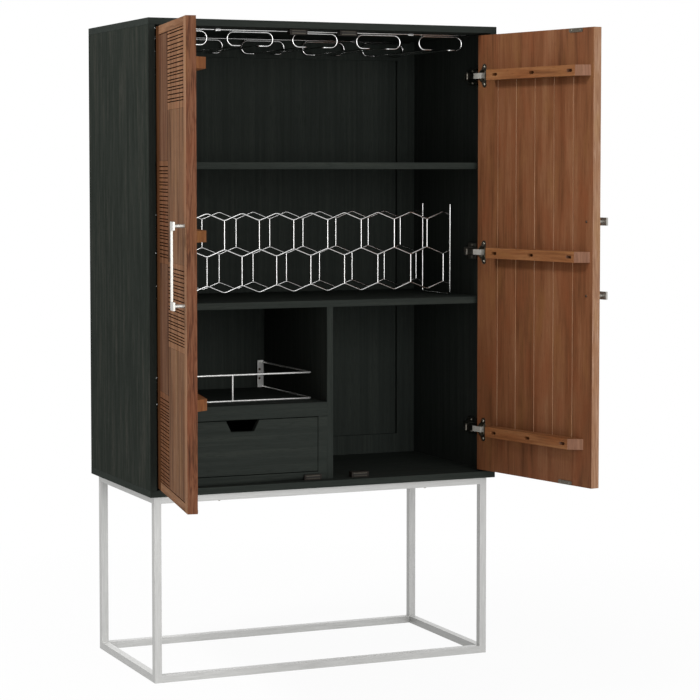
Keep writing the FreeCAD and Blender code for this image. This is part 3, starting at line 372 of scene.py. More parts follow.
# Walnut tones: dark figure, plain wood, pale wood, red clouds and golden clouds
INSIDE_TONES = ("#563520", "#754a30", "#875e42", "#7b452a", "#7e5633")
# The hinge stile is a darker, redder wood, and its tones are darker still as painted shade from the case's side
# beside it
HINGE_STILE_AND_SHADE_TONES = ("#321e13", "#4e311e", "#5a3a23", "#53301a", "#58391d")
PLUM_TONES = ("#39241b", "#5b3f2f", "#6b4f3d", "#5c3726", "#64442c")
OLIVE_TONES = ("#432d20", "#6b4e3b", "#81624a", "#6d4932", "#725337")
AMBER_TONES = ("#412819", "#684631", "#7a5740", "#6a3d27", "#724b2d")
HONEY_TONES = ("#4d3424", "#7a5841", "#926e53", "#7d513a", "#835c3d")
RAIL_TONES = ("#573c2a", "#7e5d46", "#957357", "#80563a", "#866040")
# The free stile is paler wood, and paler still as a painted highlight along it
FREE_STILE_AND_HIGHLIGHT_TONES = ("#735039", "#8a6850", "#9c7a60", "#885b40", "#8d6943")
BATTEN_TONES = ("#5a3821", "#825434", "#986b46", "#864e2b", "#8c6238")
EDGE_TONES = {
    LEFT: ("#3f2316", "#6b422c", "#7c553e", "#703c25", "#754c2d"),
    RIGHT: ("#815d47", "#9a755b", "#a98770", "#966c4a", "#9d7850"),
}
END_TONES = {
    LEFT: ("#57341f", "#754a2d", "#865c3a", "#7b4727", "#80562c"),
    RIGHT: ("#6a4a39", "#7f5b48", "#906b56", "#80543b", "#87634a"),
}
KERF_TONES = ("#a57c60", "#c09a7c", "#d0ae92", "#b58a6a", "#bf9a70")
# Painted shade: dark walnut for the faces sunk below the doors' outer face, in the louvre slots, the field's
# recess and the sides of boards and blocks
SLOT_SHADE_TONES = ("#2c170b", "#3f2311", "#4c2e19", "#452510", "#4a2d16")
# Brushed steel tube: its sides are painted duller than its fronts as painted shade, and its upper faces paler as
# painted light
STEEL_TONES = ("#b3b3b1", "#c9c9c7")
SHADED_STEEL_TONES = ("#a0a09e", "#b8b8b6")
LIT_STEEL_TONES = ("#d6d6d4", "#eaeae8")
STEEL_GLOSS = (0.34, 0.46)
STEEL_SHARE = 0.4
STEEL_UPRIGHT = metal("brushed_steel_upright", STEEL_TONES, STEEL_GLOSS, BRUSHED_UP, STEEL_SHARE)
STEEL_ACROSS = metal("brushed_steel_across", STEEL_TONES, STEEL_GLOSS, BRUSHED_ACROSS, STEEL_SHARE)
STEEL_SIDE_SHADED = metal("brushed_steel_leg_side_painted_shade", SHADED_STEEL_TONES, STEEL_GLOSS, BRUSHED_UP, STEEL_SHARE)
STEEL_DEEP_SHADED = metal("brushed_steel_front_to_back_painted_shade", SHADED_STEEL_TONES, STEEL_GLOSS, BRUSHED_DEEP, STEEL_SHARE)
STEEL_TOP_LIT = metal("brushed_steel_rail_top_painted_light", LIT_STEEL_TONES, STEEL_GLOSS, (3, 3, 3), STEEL_SHARE)
CHROME = metal("chromed_wire", ("#bebebd", "#d2d2d1"), (0.12, 0.2), (3, 3, 3))
SATIN_WIRE = metal("satin_chrome_wire", ("#dcdcda", "#ececea"), (0.2, 0.3), (3, 3, 3), metallic=0.6)
# The hinge nickel is drawn far darker than bright plating: the dark tone is a painted reflection of the dark
# cabinet, and on the arms and plates also painted shade
NICKEL = metal("nickel_plated_steel_painted_shade_and_reflection", ("#5d5a53", "#7a766d"), (0.3, 0.42), (4, 4, 4))
CUP_NICKEL = metal("pressed_nickel_cup_painted_dark_reflection", ("#6b675c", "#8f8a7e"), (0.3, 0.42), (4, 4, 4))
BRIGHT_NICKEL = metal("tumbled_nickel_link", ("#c6c3ba", "#dad7ce"), (0.3, 0.42), (4, 4, 4), metallic=0.35)
SATIN_NICKEL = metal("satin_nickel_casting", ("#a6a49e", "#bab8b2"), (0.3, 0.4), (0.8, 0.8, 30),
                     metallic=0.7)
SATIN_PLATE = metal("satin_chrome_plate", ("#cfcfcc", "#dededb"), (0.3, 0.42), (2, 2, 14), metallic=0.6)
STRIKE_STEEL = metal("oiled_strike_steel", ("#5d564c", "#7d766a"), (0.35, 0.5), (3, 3, 3))
ZINC = metal("zinc_plated_screw", ("#8f8b80", "#b5b1a5"), (0.3, 0.45), (2, 2, 2))
BROWN_SCREW = metal("bronzed_screw", ("#3b2c22", "#54402f"), (0.35, 0.5), (2, 2, 2), metallic=0.6)
POLE_STEEL = metal("catch_pole_steel", ("#3d3a36", "#565249"), (0.35, 0.5), (2, 2, 2))
BROWN_PLASTIC = moulded("brown_moulded_plastic", ("#17120e", "#231c16"), 0.6)
FERRITE = moulded("pressed_ferrite_magnet", ("#1c1a18", "#2b2825"), 0.8)


# Modelling

def select_only(*pieces):
    bpy.ops.object.select_all(action="DESELECT")
    for piece in pieces:
        piece.select_set(True)
    bpy.context.view_layer.objects.active = pieces[0]


def apply_modifier(piece, name, kind, **settings):
    """Add a modifier, set it and apply it."""
    select_only(piece)
    modifier = piece.modifiers.new(name, kind)
    for key, value in settings.items():
        setattr(modifier, key, value)
    bpy.ops.object.modifier_apply(modifier=name)


def ease(piece, width):
    """Round the sharp edges, and let the flat faces keep their own shading."""
    apply_modifier(piece, "edge_round", "BEVEL", width=width, segments=ROUND_STEPS, limit_method="ANGLE",
                   angle_limit=SHARP_ANGLE)
    bpy.ops.object.shade_smooth_by_angle(angle=SMOOTH_ANGLE)
    apply_modifier(piece, "flat_faces", "WEIGHTED_NORMAL", keep_sharp=True)


def hang(piece, name, body, slot, *nodes):
    """Name a finished piece, hang it on its body and let it stand for its CAD nodes."""
    piece.name = name
    piece.data.name = name
    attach(piece, body)
    if nodes:
        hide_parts(*nodes)
    return piece


def cad_copy(node):
    """A copy of a solid as one clean mesh of flat faces."""
    piece = bpy.data.objects.new(node + "_copy", frame["nodes"][node].data.copy())
    bpy.context.scene.collection.objects.link(piece)
    piece.data.materials.clear()
    select_only(piece)
    bpy.ops.mesh.customdata_custom_splitnormals_clear()
    bpy.ops.object.mode_set(mode="EDIT")
    bpy.ops.mesh.select_all(action="SELECT")
    bpy.ops.mesh.remove_doubles(threshold=SAME_POINT)
    bpy.ops.mesh.dissolve_limited(angle_limit=FLAT_ANGLE)
    bpy.ops.object.mode_set(mode="OBJECT")
    return piece


def eased_copy(node, width, material):
    """A solid's own shape with sanded edges, standing for it."""
    piece = cad_copy(node)
    piece.data.materials.append(material)
    ease(piece, width)
    return hang(piece, node + "_eased", BODIES[node], SLOTS[node], node)


def split(piece, places, direction):
    """Cut a mesh's faces at planes through these places, so that its parts can be painted apart."""
    select_only(piece)
    bpy.ops.object.mode_set(mode="EDIT")
    for place in places:
        bpy.ops.mesh.select_all(action="SELECT")
        bpy.ops.mesh.bisect(plane_co=place, plane_no=direction)
    bpy.ops.object.mode_set(mode="OBJECT")


def paint(piece, material, chosen):
    """Give the faces that are chosen by centre and normal another finish."""
    piece.data.materials.append(material)
    number = len(piece.data.materials) - 1
    for face in piece.data.polygons:
        if chosen(face.center, face.normal):
            face.material_index = number


def separate_solids(node):
    """The corner points of each separate solid in a node."""
    cad_copy(node)
    bpy.ops.object.mode_set(mode="EDIT")
    bpy.ops.mesh.select_all(action="SELECT")
    bpy.ops.mesh.separate(type="LOOSE")
    bpy.ops.object.mode_set(mode="OBJECT")
    solids = []
    for part in list(bpy.context.selected_objects):
        solids.append([vertex.co.copy() for vertex in part.data.vertices])
        bpy.data.objects.remove(part)
    return solids


def centre_of(points):
    return sum(points, Vector()) / len(points)


def span(points, direction):
    """How far points reach along a direction, from the least to the most."""
    heights = [point.dot(direction) for point in points]
    return min(heights), max(heights)


def add_block(middle, size):
    """A block with its place and size in its mesh."""
    bpy.ops.object.select_all(action="DESELECT")
    bpy.ops.mesh.primitive_cube_add(size=1, location=middle)
    block = bpy.context.active_object
    block.scale = size
    bpy.ops.object.transform_apply(location=True, rotation=True, scale=True)
    return block


# Lines in edit mode, which become wire or are spun

def start_lines(name):
    """An empty mesh that is ready for lines."""
    bpy.ops.object.select_all(action="DESELECT")
    bpy.ops.mesh.primitive_plane_add(size=SEED_SIZE)
    piece = bpy.context.active_object
    piece.name = name
    bpy.ops.object.mode_set(mode="EDIT")
    bpy.ops.mesh.select_all(action="SELECT")
    bpy.ops.mesh.delete(type="VERT")
    return piece


def draw_line(points):
    """Draw a line of edges by pulling one point along."""
    bpy.ops.mesh.select_all(action="DESELECT")
    bpy.ops.mesh.primitive_plane_add(size=SEED_SIZE)
    bpy.ops.mesh.merge(type="CENTER")
    bpy.ops.transform.translate(value=points[0])
    for before, after in zip(points, points[1:]):
        bpy.ops.mesh.extrude_region_move(TRANSFORM_OT_translate={"value": after - before})


def round_corners(piece, corners, reach):
    """Bend the line at these corners, starting this far from each."""
    bpy.ops.mesh.select_all(action="DESELECT")
    bpy.ops.object.mode_set(mode="OBJECT")
    for vertex in piece.data.vertices:
        vertex.select = any((vertex.co - corner).length < NEAR_POINT for corner in corners)
    bpy.ops.object.mode_set(mode="EDIT")
    bpy.ops.mesh.bevel(offset=reach, segments=BEND_STEPS, affect="VERTICES", offset_type="OFFSET")


def lines_to_wire(piece, diameter, finish=CHROME):
    """Turn drawn lines into round wire with closed ends."""
    bpy.ops.object.mode_set(mode="OBJECT")
    select_only(piece)
    bpy.ops.object.convert(target="CURVE")
    curve = bpy.context.active_object
    curve.data.bevel_depth = diameter / 2
    curve.data.bevel_resolution = WIRE_FACETS
    curve.data.use_fill_caps = True
    bpy.ops.object.convert(target="MESH")
    wire = bpy.context.active_object
    wire.data.materials.clear()
    wire.data.materials.append(finish)
    bpy.ops.object.shade_smooth_by_angle(angle=WIRE_SMOOTH_ANGLE)
    return wire


# Screws: a low round head with a cross recess, and a shank where the solid has one

def model_screw(shank, finish):
    """One screw whose head stands on the origin, and whose shank reaches down from it."""
    piece = start_lines("screw")
    crown = [(x * SCREW_RADIUS, z * SCREW_HEIGHT) for x, z in SCREW_CROWN]
    stem = [(0, -shank), (SHANK_RADIUS, -shank), (SHANK_RADIUS, 0)] if shank else [(0, 0)]
    draw_line([Vector((x, 0, z)) for x, z in stem + crown])
    bpy.ops.mesh.select_all(action="SELECT")
    bpy.ops.mesh.spin(steps=SCREW_FACETS, angle=4 * QUARTER, center=(0, 0, 0), axis=(0, 0, 1))
    bpy.ops.mesh.select_all(action="SELECT")
    bpy.ops.mesh.remove_doubles(threshold=SAME_POINT)
    bpy.ops.mesh.normals_make_consistent(inside=False)
    bpy.ops.object.mode_set(mode="OBJECT")
    for turn in (0, QUARTER):
        bpy.ops.object.select_all(action="DESELECT")
        bpy.ops.mesh.primitive_cube_add(size=1, location=(0, 0, SCREW_HEIGHT), rotation=(0, 0, turn))
        slot = bpy.context.active_object
        slot.scale = (RECESS_LENGTH, RECESS_WIDTH, 2 * RECESS_DEPTH)
        apply_modifier(piece, "recess", "BOOLEAN", operation="DIFFERENCE", object=slot, solver="EXACT")
        bpy.data.objects.remove(slot)
    piece.data.materials.clear()
    piece.data.materials.append(finish)
    select_only(piece)
    bpy.ops.object.shade_smooth_by_angle(angle=SCREW_SMOOTH_ANGLE)
    return piece


def set_screws(name, body, places, shank=0, scale=1, finish=ZINC, nodes=()):
    """Screws as one piece, each given by its head's place and the direction that the head looks."""
    first = model_screw(shank, finish)
    screws = []
    for place, direction in places:
        screw = bpy.data.objects.new(name, first.data.copy())
        bpy.context.scene.collection.objects.link(screw)
        screw.location = place
        screw.rotation_euler = direction.to_track_quat("Z", "Y").to_euler()
        screw.scale = (scale, scale, scale)
        screws.append(screw)
    bpy.data.objects.remove(first)
    select_only(*screws)
    bpy.ops.object.transform_apply(location=True, rotation=True, scale=True)
    bpy.ops.object.join()
    return hang(bpy.context.active_object, name, body, "zinc_screw", *nodes)


def swap_screws(node, facing, finish=ZINC):
    """Put a modelled screw where a node has a plain one. A function tells where its head looks."""
    places = []
    for points in separate_solids(node):
        middle = centre_of(points)
        direction = facing(middle)
        foot, tip = span(points, direction)
        shank = tip - foot - SCREW_HEIGHT
        places.append((middle + direction * (tip - SCREW_HEIGHT - middle.dot(direction)), direction))
    shank = shank if shank > SCREW_HEIGHT else 0
    set_screws(node + "_cross_head", BODIES[node], places, shank=shank, finish=finish, nodes=(node,))


# Doors as they stand

def door_turn(side):
    """How far a door has turned about Z since it was shut."""
    return math.radians(JOINTS[WORDS[side] + "_door_hinge"]["range_deg"][0]) * -side


def door_pivot(side):
    place = JOINTS[WORDS[side] + "_door_hinge"]["pos_m"]
    return Vector((place[0], place[1], 0))


def inward(side):
    """The direction that a door's inner face looks."""
    turn = door_turn(side)
    return Vector((-math.sin(turn), math.cos(turn), 0))


def outward_end(side):
    """The direction along a door from its hinge edge to its free edge."""
    turn = door_turn(side)
    return Vector((math.cos(turn), math.sin(turn), 0)) * -side


def make_door(side):
    word = WORDS[side]
    name = word + "_door"
    turn = door_turn(side)
    pivot = door_pivot(side)
    into = inward(side)
    free = outward_end(side)
    plank_turn = turn if side == LEFT else turn + 2 * QUARTER

    def run(centre):
        return (centre - pivot).dot(free) + HINGE_REACH

    def depth(centre):
        return (centre - pivot).dot(into) + PIVOT_DEPTH

    def carved(centre, normal):
        return SLAT_ROUND < depth(centre) < FIELD_DEPTH + SLAT_ROUND

    upright = (0, 0, turn)
    level = (0, QUARTER, turn)
    planks = (KERF_FIRST, KERF_PITCH, PLANK_CHANGE)
    staves = (0, STAVE_WIDTH, STAVE_CHANGE)
    inside = walnut(name + "_walnut_planks", (0, 0, plank_turn), pivot, INSIDE_TONES,
                    figure=PLANK_FIGURE, staves=planks)
    plum = walnut(name + "_walnut_plum", upright, pivot, PLUM_TONES, figure=FINE_FIGURE, sheen=OUTER_SHEEN,
                  staves=staves)
    olive = walnut(name + "_walnut_olive", upright, pivot, OLIVE_TONES, figure=BROAD_FIGURE,
                   sheen=OUTER_SHEEN, staves=staves)
    amber = walnut(name + "_walnut_amber", upright, pivot, AMBER_TONES, figure=FINE_FIGURE,
                   sheen=OUTER_SHEEN)
    honey = walnut(name + "_walnut_honey", upright, pivot, HONEY_TONES, figure=BROAD_FIGURE,
                   sheen=OUTER_SHEEN)
    rail = walnut(name + "_walnut_rail", level, pivot, RAIL_TONES, figure=FINE_FIGURE, sheen=OUTER_SHEEN)
    # The free stile's walnut: paler wood, partly a painted highlight
    stile = walnut(name + "_walnut_free_stile_and_painted_highlight", upright, pivot, FREE_STILE_AND_HIGHLIGHT_TONES, figure=STILE_FIGURE,
                   sheen=OUTER_SHEEN)
    # The hinge stile's walnut: darker wood, partly painted shade
    hinge = walnut(name + "_walnut_hinge_stile_and_painted_shade", upright, pivot, HINGE_STILE_AND_SHADE_TONES, figure=STILE_FIGURE,
                   sheen=OUTER_SHEEN)
    edge = walnut(name + "_walnut_edge", upright, pivot, EDGE_TONES[side], figure=EDGE_FIGURE, wander=1.5,
                  spread=0.22)
    batten = walnut(name + "_walnut_batten", level, pivot, BATTEN_TONES, figure=BATTEN_FIGURE)
    end = walnut(name + "_walnut_end_grain", upright, pivot, END_TONES[side], figure=END_FIGURE)
    kerf = walnut(name + "_walnut_fresh_cut", upright, pivot, KERF_TONES)
    # The slot walnut is painted shade on the sunk faces
    slot = walnut(name + "_walnut_slot_painted_shade", upright, pivot, SLOT_SHADE_TONES, figure=SLOT_FIGURE, sheen=OUTER_SHEEN)

    panel = cad_copy(name + "_panel")
    borders = (HINGE_BORDER, DOOR_WIDTH - FREE_BORDER)
    split(panel, [pivot + free * (border - HINGE_REACH) for border in borders], free)
    panel.data.materials.append(inside)
    ease(panel, DOOR_ROUND)
    hang(panel, name + "_panel_eased", BODIES[name + "_panel"], SLOTS[name + "_panel"], name + "_panel")
    paint(panel, rail, lambda centre, normal: normal.dot(into) < -FACING)
    paint(panel, stile, lambda centre, normal: (
        normal.dot(into) < -FACING and run(centre) > DOOR_WIDTH - FREE_BORDER))
    paint(panel, hinge, lambda centre, normal: normal.dot(into) < -FACING and run(centre) < HINGE_BORDER)
    paint(panel, slot, carved)
    paint(panel, edge, lambda centre, normal: (
        normal.dot(free) > FACING and run(centre) > DOOR_WIDTH - 2 * DOOR_ROUND))
    paint(panel, kerf, lambda centre, normal: (
        KERF_FIRST - KERF_DEPTH < run(centre) < DOOR_WIDTH - KERF_PITCH + KERF_DEPTH
        and DOOR_THICKNESS - KERF_FLOOR < depth(centre) < DOOR_THICKNESS - NEAR_POINT
        and normal.dot(into) > -FACING))
    for pieces, free_wood, hinge_wood in (("_boards", olive, plum), ("_louvres", honey, amber)):
        field = eased_copy(name + pieces, SLAT_ROUND, free_wood)
        paint(field, hinge_wood, lambda centre, normal: run(centre) < COLUMN_SPLIT)
        paint(field, slot, carved)
    battens = eased_copy(name + "_battens", BOARD_ROUND, batten)
    paint(battens, end, lambda centre, normal: normal.dot(free) > BEVEL_FACING and run(centre) > BATTEN_TIP)
    eased_copy(name + "_handle", HANDLE_ROUND, SATIN_NICKEL)
    eased_copy(name + "_handle_posts", FITTING_ROUND, SATIN_NICKEL)
    eased_copy(name + "_hinge_cups", FITTING_ROUND, CUP_NICKEL)
    make_links(word + "_hinge_links")
    strikes = name + "_strike_plates"
    eased_copy(strikes, FITTING_ROUND, STRIKE_STEEL)
    places = []
    for points in separate_solids(strikes):
        middle = centre_of(points)
        top = span(points, into)[1] + STRIKE_SCREW_PROUD - STRIKE_SCREW_SCALE * SCREW_HEIGHT
        for shift in (-STRIKE_SCREW_SPREAD, STRIKE_SCREW_SPREAD):
            places.append((middle + into * (top - middle.dot(into)) + free * shift, into))
    set_screws(name + "_strike_screws", BODIES[strikes], places, scale=STRIKE_SCREW_SCALE)
    swap_screws(name + "_screws", lambda place: into)
    swap_screws(name + "_handle_screws", lambda place: into, BROWN_SCREW)


def make_links(node):
    """Hinge links, each with a bright tongue into the cup and a darker barrel on the arm's pin; the barrel's
    darker tone is painted shade.
    """
    low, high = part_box(node)
    middle = (low + high) / 2
    piece = cad_copy(node)
    split(piece, [middle], TO_FRONT)
    piece.data.materials.append(BRIGHT_NICKEL)
    ease(piece, FITTING_ROUND)
    # The barrel half gets the darker nickel as painted shade
    paint(piece, NICKEL, lambda centre, normal: centre.y > middle.y)
    hang(piece, node + "_eased", BODIES[node], SLOTS[node], node)


# Case, base, drawer and fittings

def make_case():
    eased_copy("lower_divider", BOARD_ROUND, OAK_UPRIGHT)
    for word, side in SIDES.items():
        panel = eased_copy(word + "_side_panel", BOARD_ROUND, OAK_UPRIGHT)
        paint(panel, OAK_SIDE, lambda centre, normal: normal.x * side > FACING)
    for node in ("top_panel", "bottom_panel", "upper_shelf", "middle_shelf", "cubby_shelf",
                 "drawer_face_frame", "drawer_front", "drawer_back"):
        eased_copy(node, BOARD_ROUND, OAK_ACROSS)
    for node in ("drawer_sides", "drawer_runners"):
        eased_copy(node, BOARD_ROUND, OAK_DEEP)
    for node in ("hinge_mount_plates", "hinge_arms"):
        eased_copy(node, FITTING_ROUND, NICKEL)
    swap_screws("hinge_mount_screws", lambda place: TO_RIGHT if place.x < 0 else -TO_RIGHT)


def make_base():
    """One frame of square tube, welded and ground smooth, so that no joint shows."""
    low, rail_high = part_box("base_bottom_rails")
    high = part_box("base_top_rails")[1]
    tube = rail_high.z - low.z
    middle = (low + high) / 2
    size = high - low
    inner = size / 2 - Vector((tube, tube, tube))
    piece = add_block(middle, size)
    for axis in range(3):
        opening = 2 * inner
        opening[axis] = size[axis] + tube
        cutter = add_block(middle, opening)
        apply_modifier(piece, "opening", "BOOLEAN", operation="DIFFERENCE", object=cutter, solver="EXACT")
        bpy.data.objects.remove(cutter)
    for direction in (TO_RIGHT, TO_FRONT, DOWN):
        reach = direction * direction.dot(inner)
        split(piece, (middle + reach, middle - reach), direction)
    piece.data.materials.clear()
    piece.data.materials.append(STEEL_ACROSS)
    ease(piece, TUBE_ROUND)

    def beyond(centre, axis):
        return abs(centre[axis] - middle[axis]) > inner[axis] - TUBE_ROUND / 2

    # Painted shade on the side rails and on the legs' left and right faces, and painted light on all upper faces
    paint(piece, STEEL_DEEP_SHADED, lambda centre, normal: beyond(centre, 0))
    paint(piece, STEEL_TOP_LIT, lambda centre, normal: normal.z > FACING)
    paint(piece, STEEL_UPRIGHT, lambda centre, normal: (
        beyond(centre, 0) and beyond(centre, 1) and abs(normal.z) < FACING))
    paint(piece, STEEL_SIDE_SHADED, lambda centre, normal: (
        beyond(centre, 0) and beyond(centre, 1) and abs(normal.x) > FACING))
    hang(piece, "base_frame_welded", "case", SLOTS["base_legs"], "base_legs", "base_top_rails",
         "base_bottom_rails")
    swap_screws("base_screws", lambda place: DOWN)


def make_catches():
    eased_copy("catch_housings", FITTING_ROUND, BROWN_PLASTIC)
    for word in SIDES:
        for level in ("upper", "lower"):
            make_magnet(f"{word}_{level}_magnet")


def make_magnet(node):
    """A ferrite block between two steel poles."""
    low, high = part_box(node)
    height = high.z - low.z
    piece = cad_copy(node)
    levels = (low.z + POLE_SHARE * height, high.z - POLE_SHARE * height)
    split(piece, [Vector((0, 0, level)) for level in levels], DOWN)
    piece.data.materials.append(POLE_STEEL)
    ease(piece, FITTING_ROUND / 2)
    middle = (low.z + high.z) / 2
    paint(piece, FERRITE, lambda centre, normal: abs(centre.z - middle) < (0.5 - POLE_SHARE) * height)
    hang(piece, node + "_with_poles", BODIES[node], SLOTS[node], node)


# Wire goods

def make_stemware_rack():
    low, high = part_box("stemware_lanes")
    cross_low, cross_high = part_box("stemware_cross_wires")
    diameter = cross_high.z - cross_low.z
    radius = diameter / 2
    front = low.y + radius
    back = high.y - radius
    floor = low.z + radius
    roof = high.z - radius
    half = (LANE_WIDTH - diameter) / 2
    pitch = (high.x - low.x - LANE_WIDTH) / (LANE_COUNT - 1)
    lip = LANE_LIP / 2
    hoop = [(-lip, floor), (-half, floor), (-half, roof), (half, roof), (half, floor), (lip, floor)]
    lanes = start_lines("stemware_lane_wires")
    for i in range(LANE_COUNT):
        place = low.x + LANE_WIDTH / 2 + i * pitch
        corners = [Vector((place + x, front, z)) for x, z in hoop]
        corners += [Vector((place + x, back, z)) for x, z in reversed(hoop)]
        draw_line(corners + [corners[0]])
        bpy.ops.mesh.select_all(action="SELECT")
        bpy.ops.mesh.remove_doubles(threshold=SAME_POINT)
        lips = [corners[k] for k in LANE_LIP_CORNERS]
        bends = [corner for corner in corners if corner not in lips]
        round_corners(lanes, bends, LANE_HOOP_SHARE * (roof - floor))
        round_corners(lanes, lips, LANE_LIP_BEND)
    wires = lines_to_wire(lanes, diameter)
    hang(wires, "stemware_lane_wires", "case", "chrome_wire", "stemware_lanes")
    rods = start_lines("stemware_cross_rods")
    level = (cross_low.z + cross_high.z) / 2
    for y in (front, back):
        draw_line([Vector((cross_low.x, y, level)), Vector((cross_high.x, y, level))])
    wires = lines_to_wire(rods, diameter)
    hang(wires, "stemware_cross_rods", "case", "chrome_wire", "stemware_cross_wires")
    eased_copy("stemware_clips", FITTING_ROUND, CHROME)


def make_lattice(node):
    """Three bent zigzag wires with straight wires welded between them."""
    low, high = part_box(node)
    diameter = high.y - low.y
    y = (low.y + high.y) / 2
    middle = (low.x + high.x) / 2
    reach = (high.x - low.x) / 2
    half = CELL_WIDTH / 2
    slope = CELL_RISE / half
    top = high.z - diameter / 2 * math.hypot(1, slope)
    row = CELL_SIDE + CELL_RISE
    columns = int(reach // half)
    steps = range(-columns, columns + 1)
    over = slope * (reach - columns * half)
    piece = start_lines(node + "_wires")
    bends = []
    for level in range(ZIGZAGS):
        base = top - CELL_RISE - (ZIGZAGS - 1 - level) * row
        corners = []
        for i in steps:
            rise = CELL_RISE if (i + level) % 2 == 0 else 0
            corners.append(Vector((middle + i * half, y, base + rise)))
        tail = corners[0].z + (over if corners[0].z < base + CELL_RISE / 2 else -over)
        draw_line([Vector((middle - reach, y, tail))] + corners + [Vector((middle + reach, y, tail))])
        bends += corners
    round_corners(piece, bends, CELL_BEND)
    for level in range(ZIGZAGS - 1):
        foot = top - (ZIGZAGS - 1 - level) * row
        for i in steps:
            if (i + level) % 2 == 0:
                x = middle + i * half
                draw_line([Vector((x, y, foot)), Vector((x, y, foot + CELL_SIDE))])
    hang(lines_to_wire(piece, diameter), node + "_wires", "case", "chrome_wire", node)


def make_bottle_rack():
    make_lattice("bottle_rack_front_lattice")
    make_lattice("bottle_rack_rear_lattice")
    low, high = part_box("bottle_rack_end_frames")
    lattice_low, lattice_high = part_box("bottle_rack_front_lattice")
    diameter = lattice_high.y - lattice_low.y
    radius = diameter / 2
    hoops = start_lines("bottle_rack_end_hoops")
    corners = []
    for x in (low.x + radius, high.x - radius):
        path = [(low.y + radius, high.z), (low.y + radius, low.z + radius),
                (high.y - radius, low.z + radius), (high.y - radius, high.z)]
        points = [Vector((x, y, z)) for y, z in path]
        draw_line(points)
        corners += points[1:3]
    round_corners(hoops, corners, RACK_CORNER)
    wires = lines_to_wire(hoops, diameter)
    hang(wires, "bottle_rack_end_hoops", "case", "chrome_wire", "bottle_rack_end_frames")


def make_tray_rail():
    low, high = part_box("tray_rail")
    wire_low, wire_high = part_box("stemware_cross_wires")
    diameter = wire_high.z - wire_low.z
    radius = diameter / 2
    left = low.x + radius
    right = high.x - radius
    front = low.y + radius
    rail = start_lines("tray_rail_wires")
    corners = []
    for z in (low.z + radius, high.z - radius):
        path = [(left, high.y), (left, front), (right, front), (right, high.y)]
        points = [Vector((x, y, z)) for x, y in path]
        draw_line(points)
        corners += points[1:3]
    round_corners(rail, corners, TRAY_BEND)
    post = (left + right) / 2 + TRAY_POST_SHIFT
    draw_line([Vector((post, front, low.z + radius)), Vector((post, front, high.z - radius))])
    wires = lines_to_wire(rail, diameter, SATIN_WIRE)
    hang(wires, "tray_rail_wires", "case", "chrome_wire", "tray_rail")
    eased_copy("tray_rail_plates", FITTING_ROUND, SATIN_PLATE)
    swap_screws("tray_rail_screws", lambda place: TO_FRONT, BROWN_SCREW)


# Floor, light and camera

def seen_directly(tree):
    """One where a ray comes from the camera, a reflection or through glass, and nought elsewhere."""
    path = add(tree, "ShaderNodeLightPath")
    either = add(tree, "ShaderNodeMath", {
        0: path.outputs["Is Camera Ray"], 1: path.outputs["Is Glossy Ray"],
    }, operation="MAXIMUM")
    any_of = add(tree, "ShaderNodeMath", {
        0: either.outputs[0], 1: path.outputs["Is Transmission Ray"],
    }, operation="MAXIMUM")
    return any_of.outputs[0]


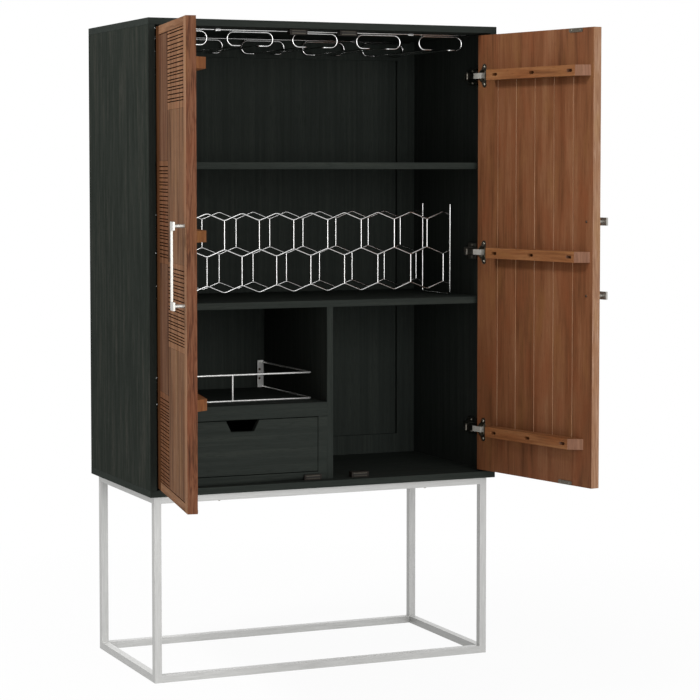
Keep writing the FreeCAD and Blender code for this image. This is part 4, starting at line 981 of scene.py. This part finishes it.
def make_floor():
    """Pale studio floor that is seen as plain white far off, and takes the shadow near the base."""
    bpy.ops.object.select_all(action="DESELECT")
    bpy.ops.mesh.primitive_plane_add(size=FLOOR_SIZE)
    floor = bpy.context.active_object
    floor.name = "floor"
    material, tree, shader = new_material("studio_floor")
    tree.nodes.remove(shader)
    paper = add(tree, "ShaderNodeBsdfDiffuse", {"Color": colour("#fafafa")})
    white = add(tree, "ShaderNodeEmission", {"Color": (1, 1, 1, 1), "Strength": 1})
    spot = add(tree, "ShaderNodeTexCoord").outputs["Object"]
    away = add(tree, "ShaderNodeVectorMath", {0: spot}, operation="LENGTH")
    plain = add(tree, "ShaderNodeMapRange", {
        "Value": away.outputs["Value"], "From Min": SHADOW_NEAR, "From Max": SHADOW_FAR,
        "To Min": FLOOR_WHITE,
    })
    share = add(tree, "ShaderNodeMath", {0: seen_directly(tree), 1: plain.outputs[0]}, operation="MULTIPLY")
    mixed = add(tree, "ShaderNodeMixShader", {
        0: share.outputs[0], 1: paper.outputs[0], 2: white.outputs[0],
    })
    tree.links.new(mixed.outputs[0], tree.nodes["Material Output"].inputs["Surface"])
    floor.data.materials.append(material)


def make_world():
    world = bpy.data.worlds.new("white_studio")
    world.use_nodes = True
    bpy.context.scene.world = world
    tree = world.node_tree
    strength = add(tree, "ShaderNodeMapRange", {
        "Value": seen_directly(tree), "To Min": ROOM_LIGHT, "To Max": ROOM_WHITE,
    })
    tree.links.new(strength.outputs[0], tree.nodes["Background"].inputs["Strength"])
    tree.nodes["Background"].inputs["Color"].default_value = (1, 1, 1, 1)


def softbox(name, place, target, size, power):
    lamp = bpy.data.lights.new(name, "AREA")
    lamp.shape = "RECTANGLE"
    lamp.size = size[0]
    lamp.size_y = size[1]
    lamp.energy = power
    item = bpy.data.objects.new(name, lamp)
    bpy.context.scene.collection.objects.link(item)
    item.location = place
    item.rotation_euler = (Vector(target) - Vector(place)).to_track_quat("-Z", "Y").to_euler()


def make_camera():
    lens = bpy.data.cameras.new("photo_view")
    lens.sensor_width = SENSOR_WIDTH
    lens.lens = CAMERA_LENS
    lens.shift_y = CAMERA_SHIFT
    camera = bpy.data.objects.new("photo_view", lens)
    bpy.context.scene.collection.objects.link(camera)
    camera.location = CAMERA_PLACE
    camera.rotation_euler = (QUARTER + CAMERA_TILT, 0, CAMERA_TURN)
    bpy.context.scene.camera = camera


def dress_other_nodes():
    """Give the solids that are still shown their finishes."""
    finishes = {"back_panel": OAK_UPRIGHT, "back_frame": OAK_UPRIGHT, "drawer_bottom": OAK_ACROSS,
                "hinge_pins": NICKEL}
    for name, finish in finishes.items():
        for place in frame["nodes"][name].material_slots:
            place.material = finish


make_case()
make_base()
make_catches()
make_door(LEFT)
make_door(RIGHT)
make_stemware_rack()
make_bottle_rack()
make_tray_rail()
dress_other_nodes()
make_floor()
make_world()
for box in SOFTBOXES:
    softbox(*box)
make_camera()
bpy.context.scene.view_settings.view_transform = "Standard"
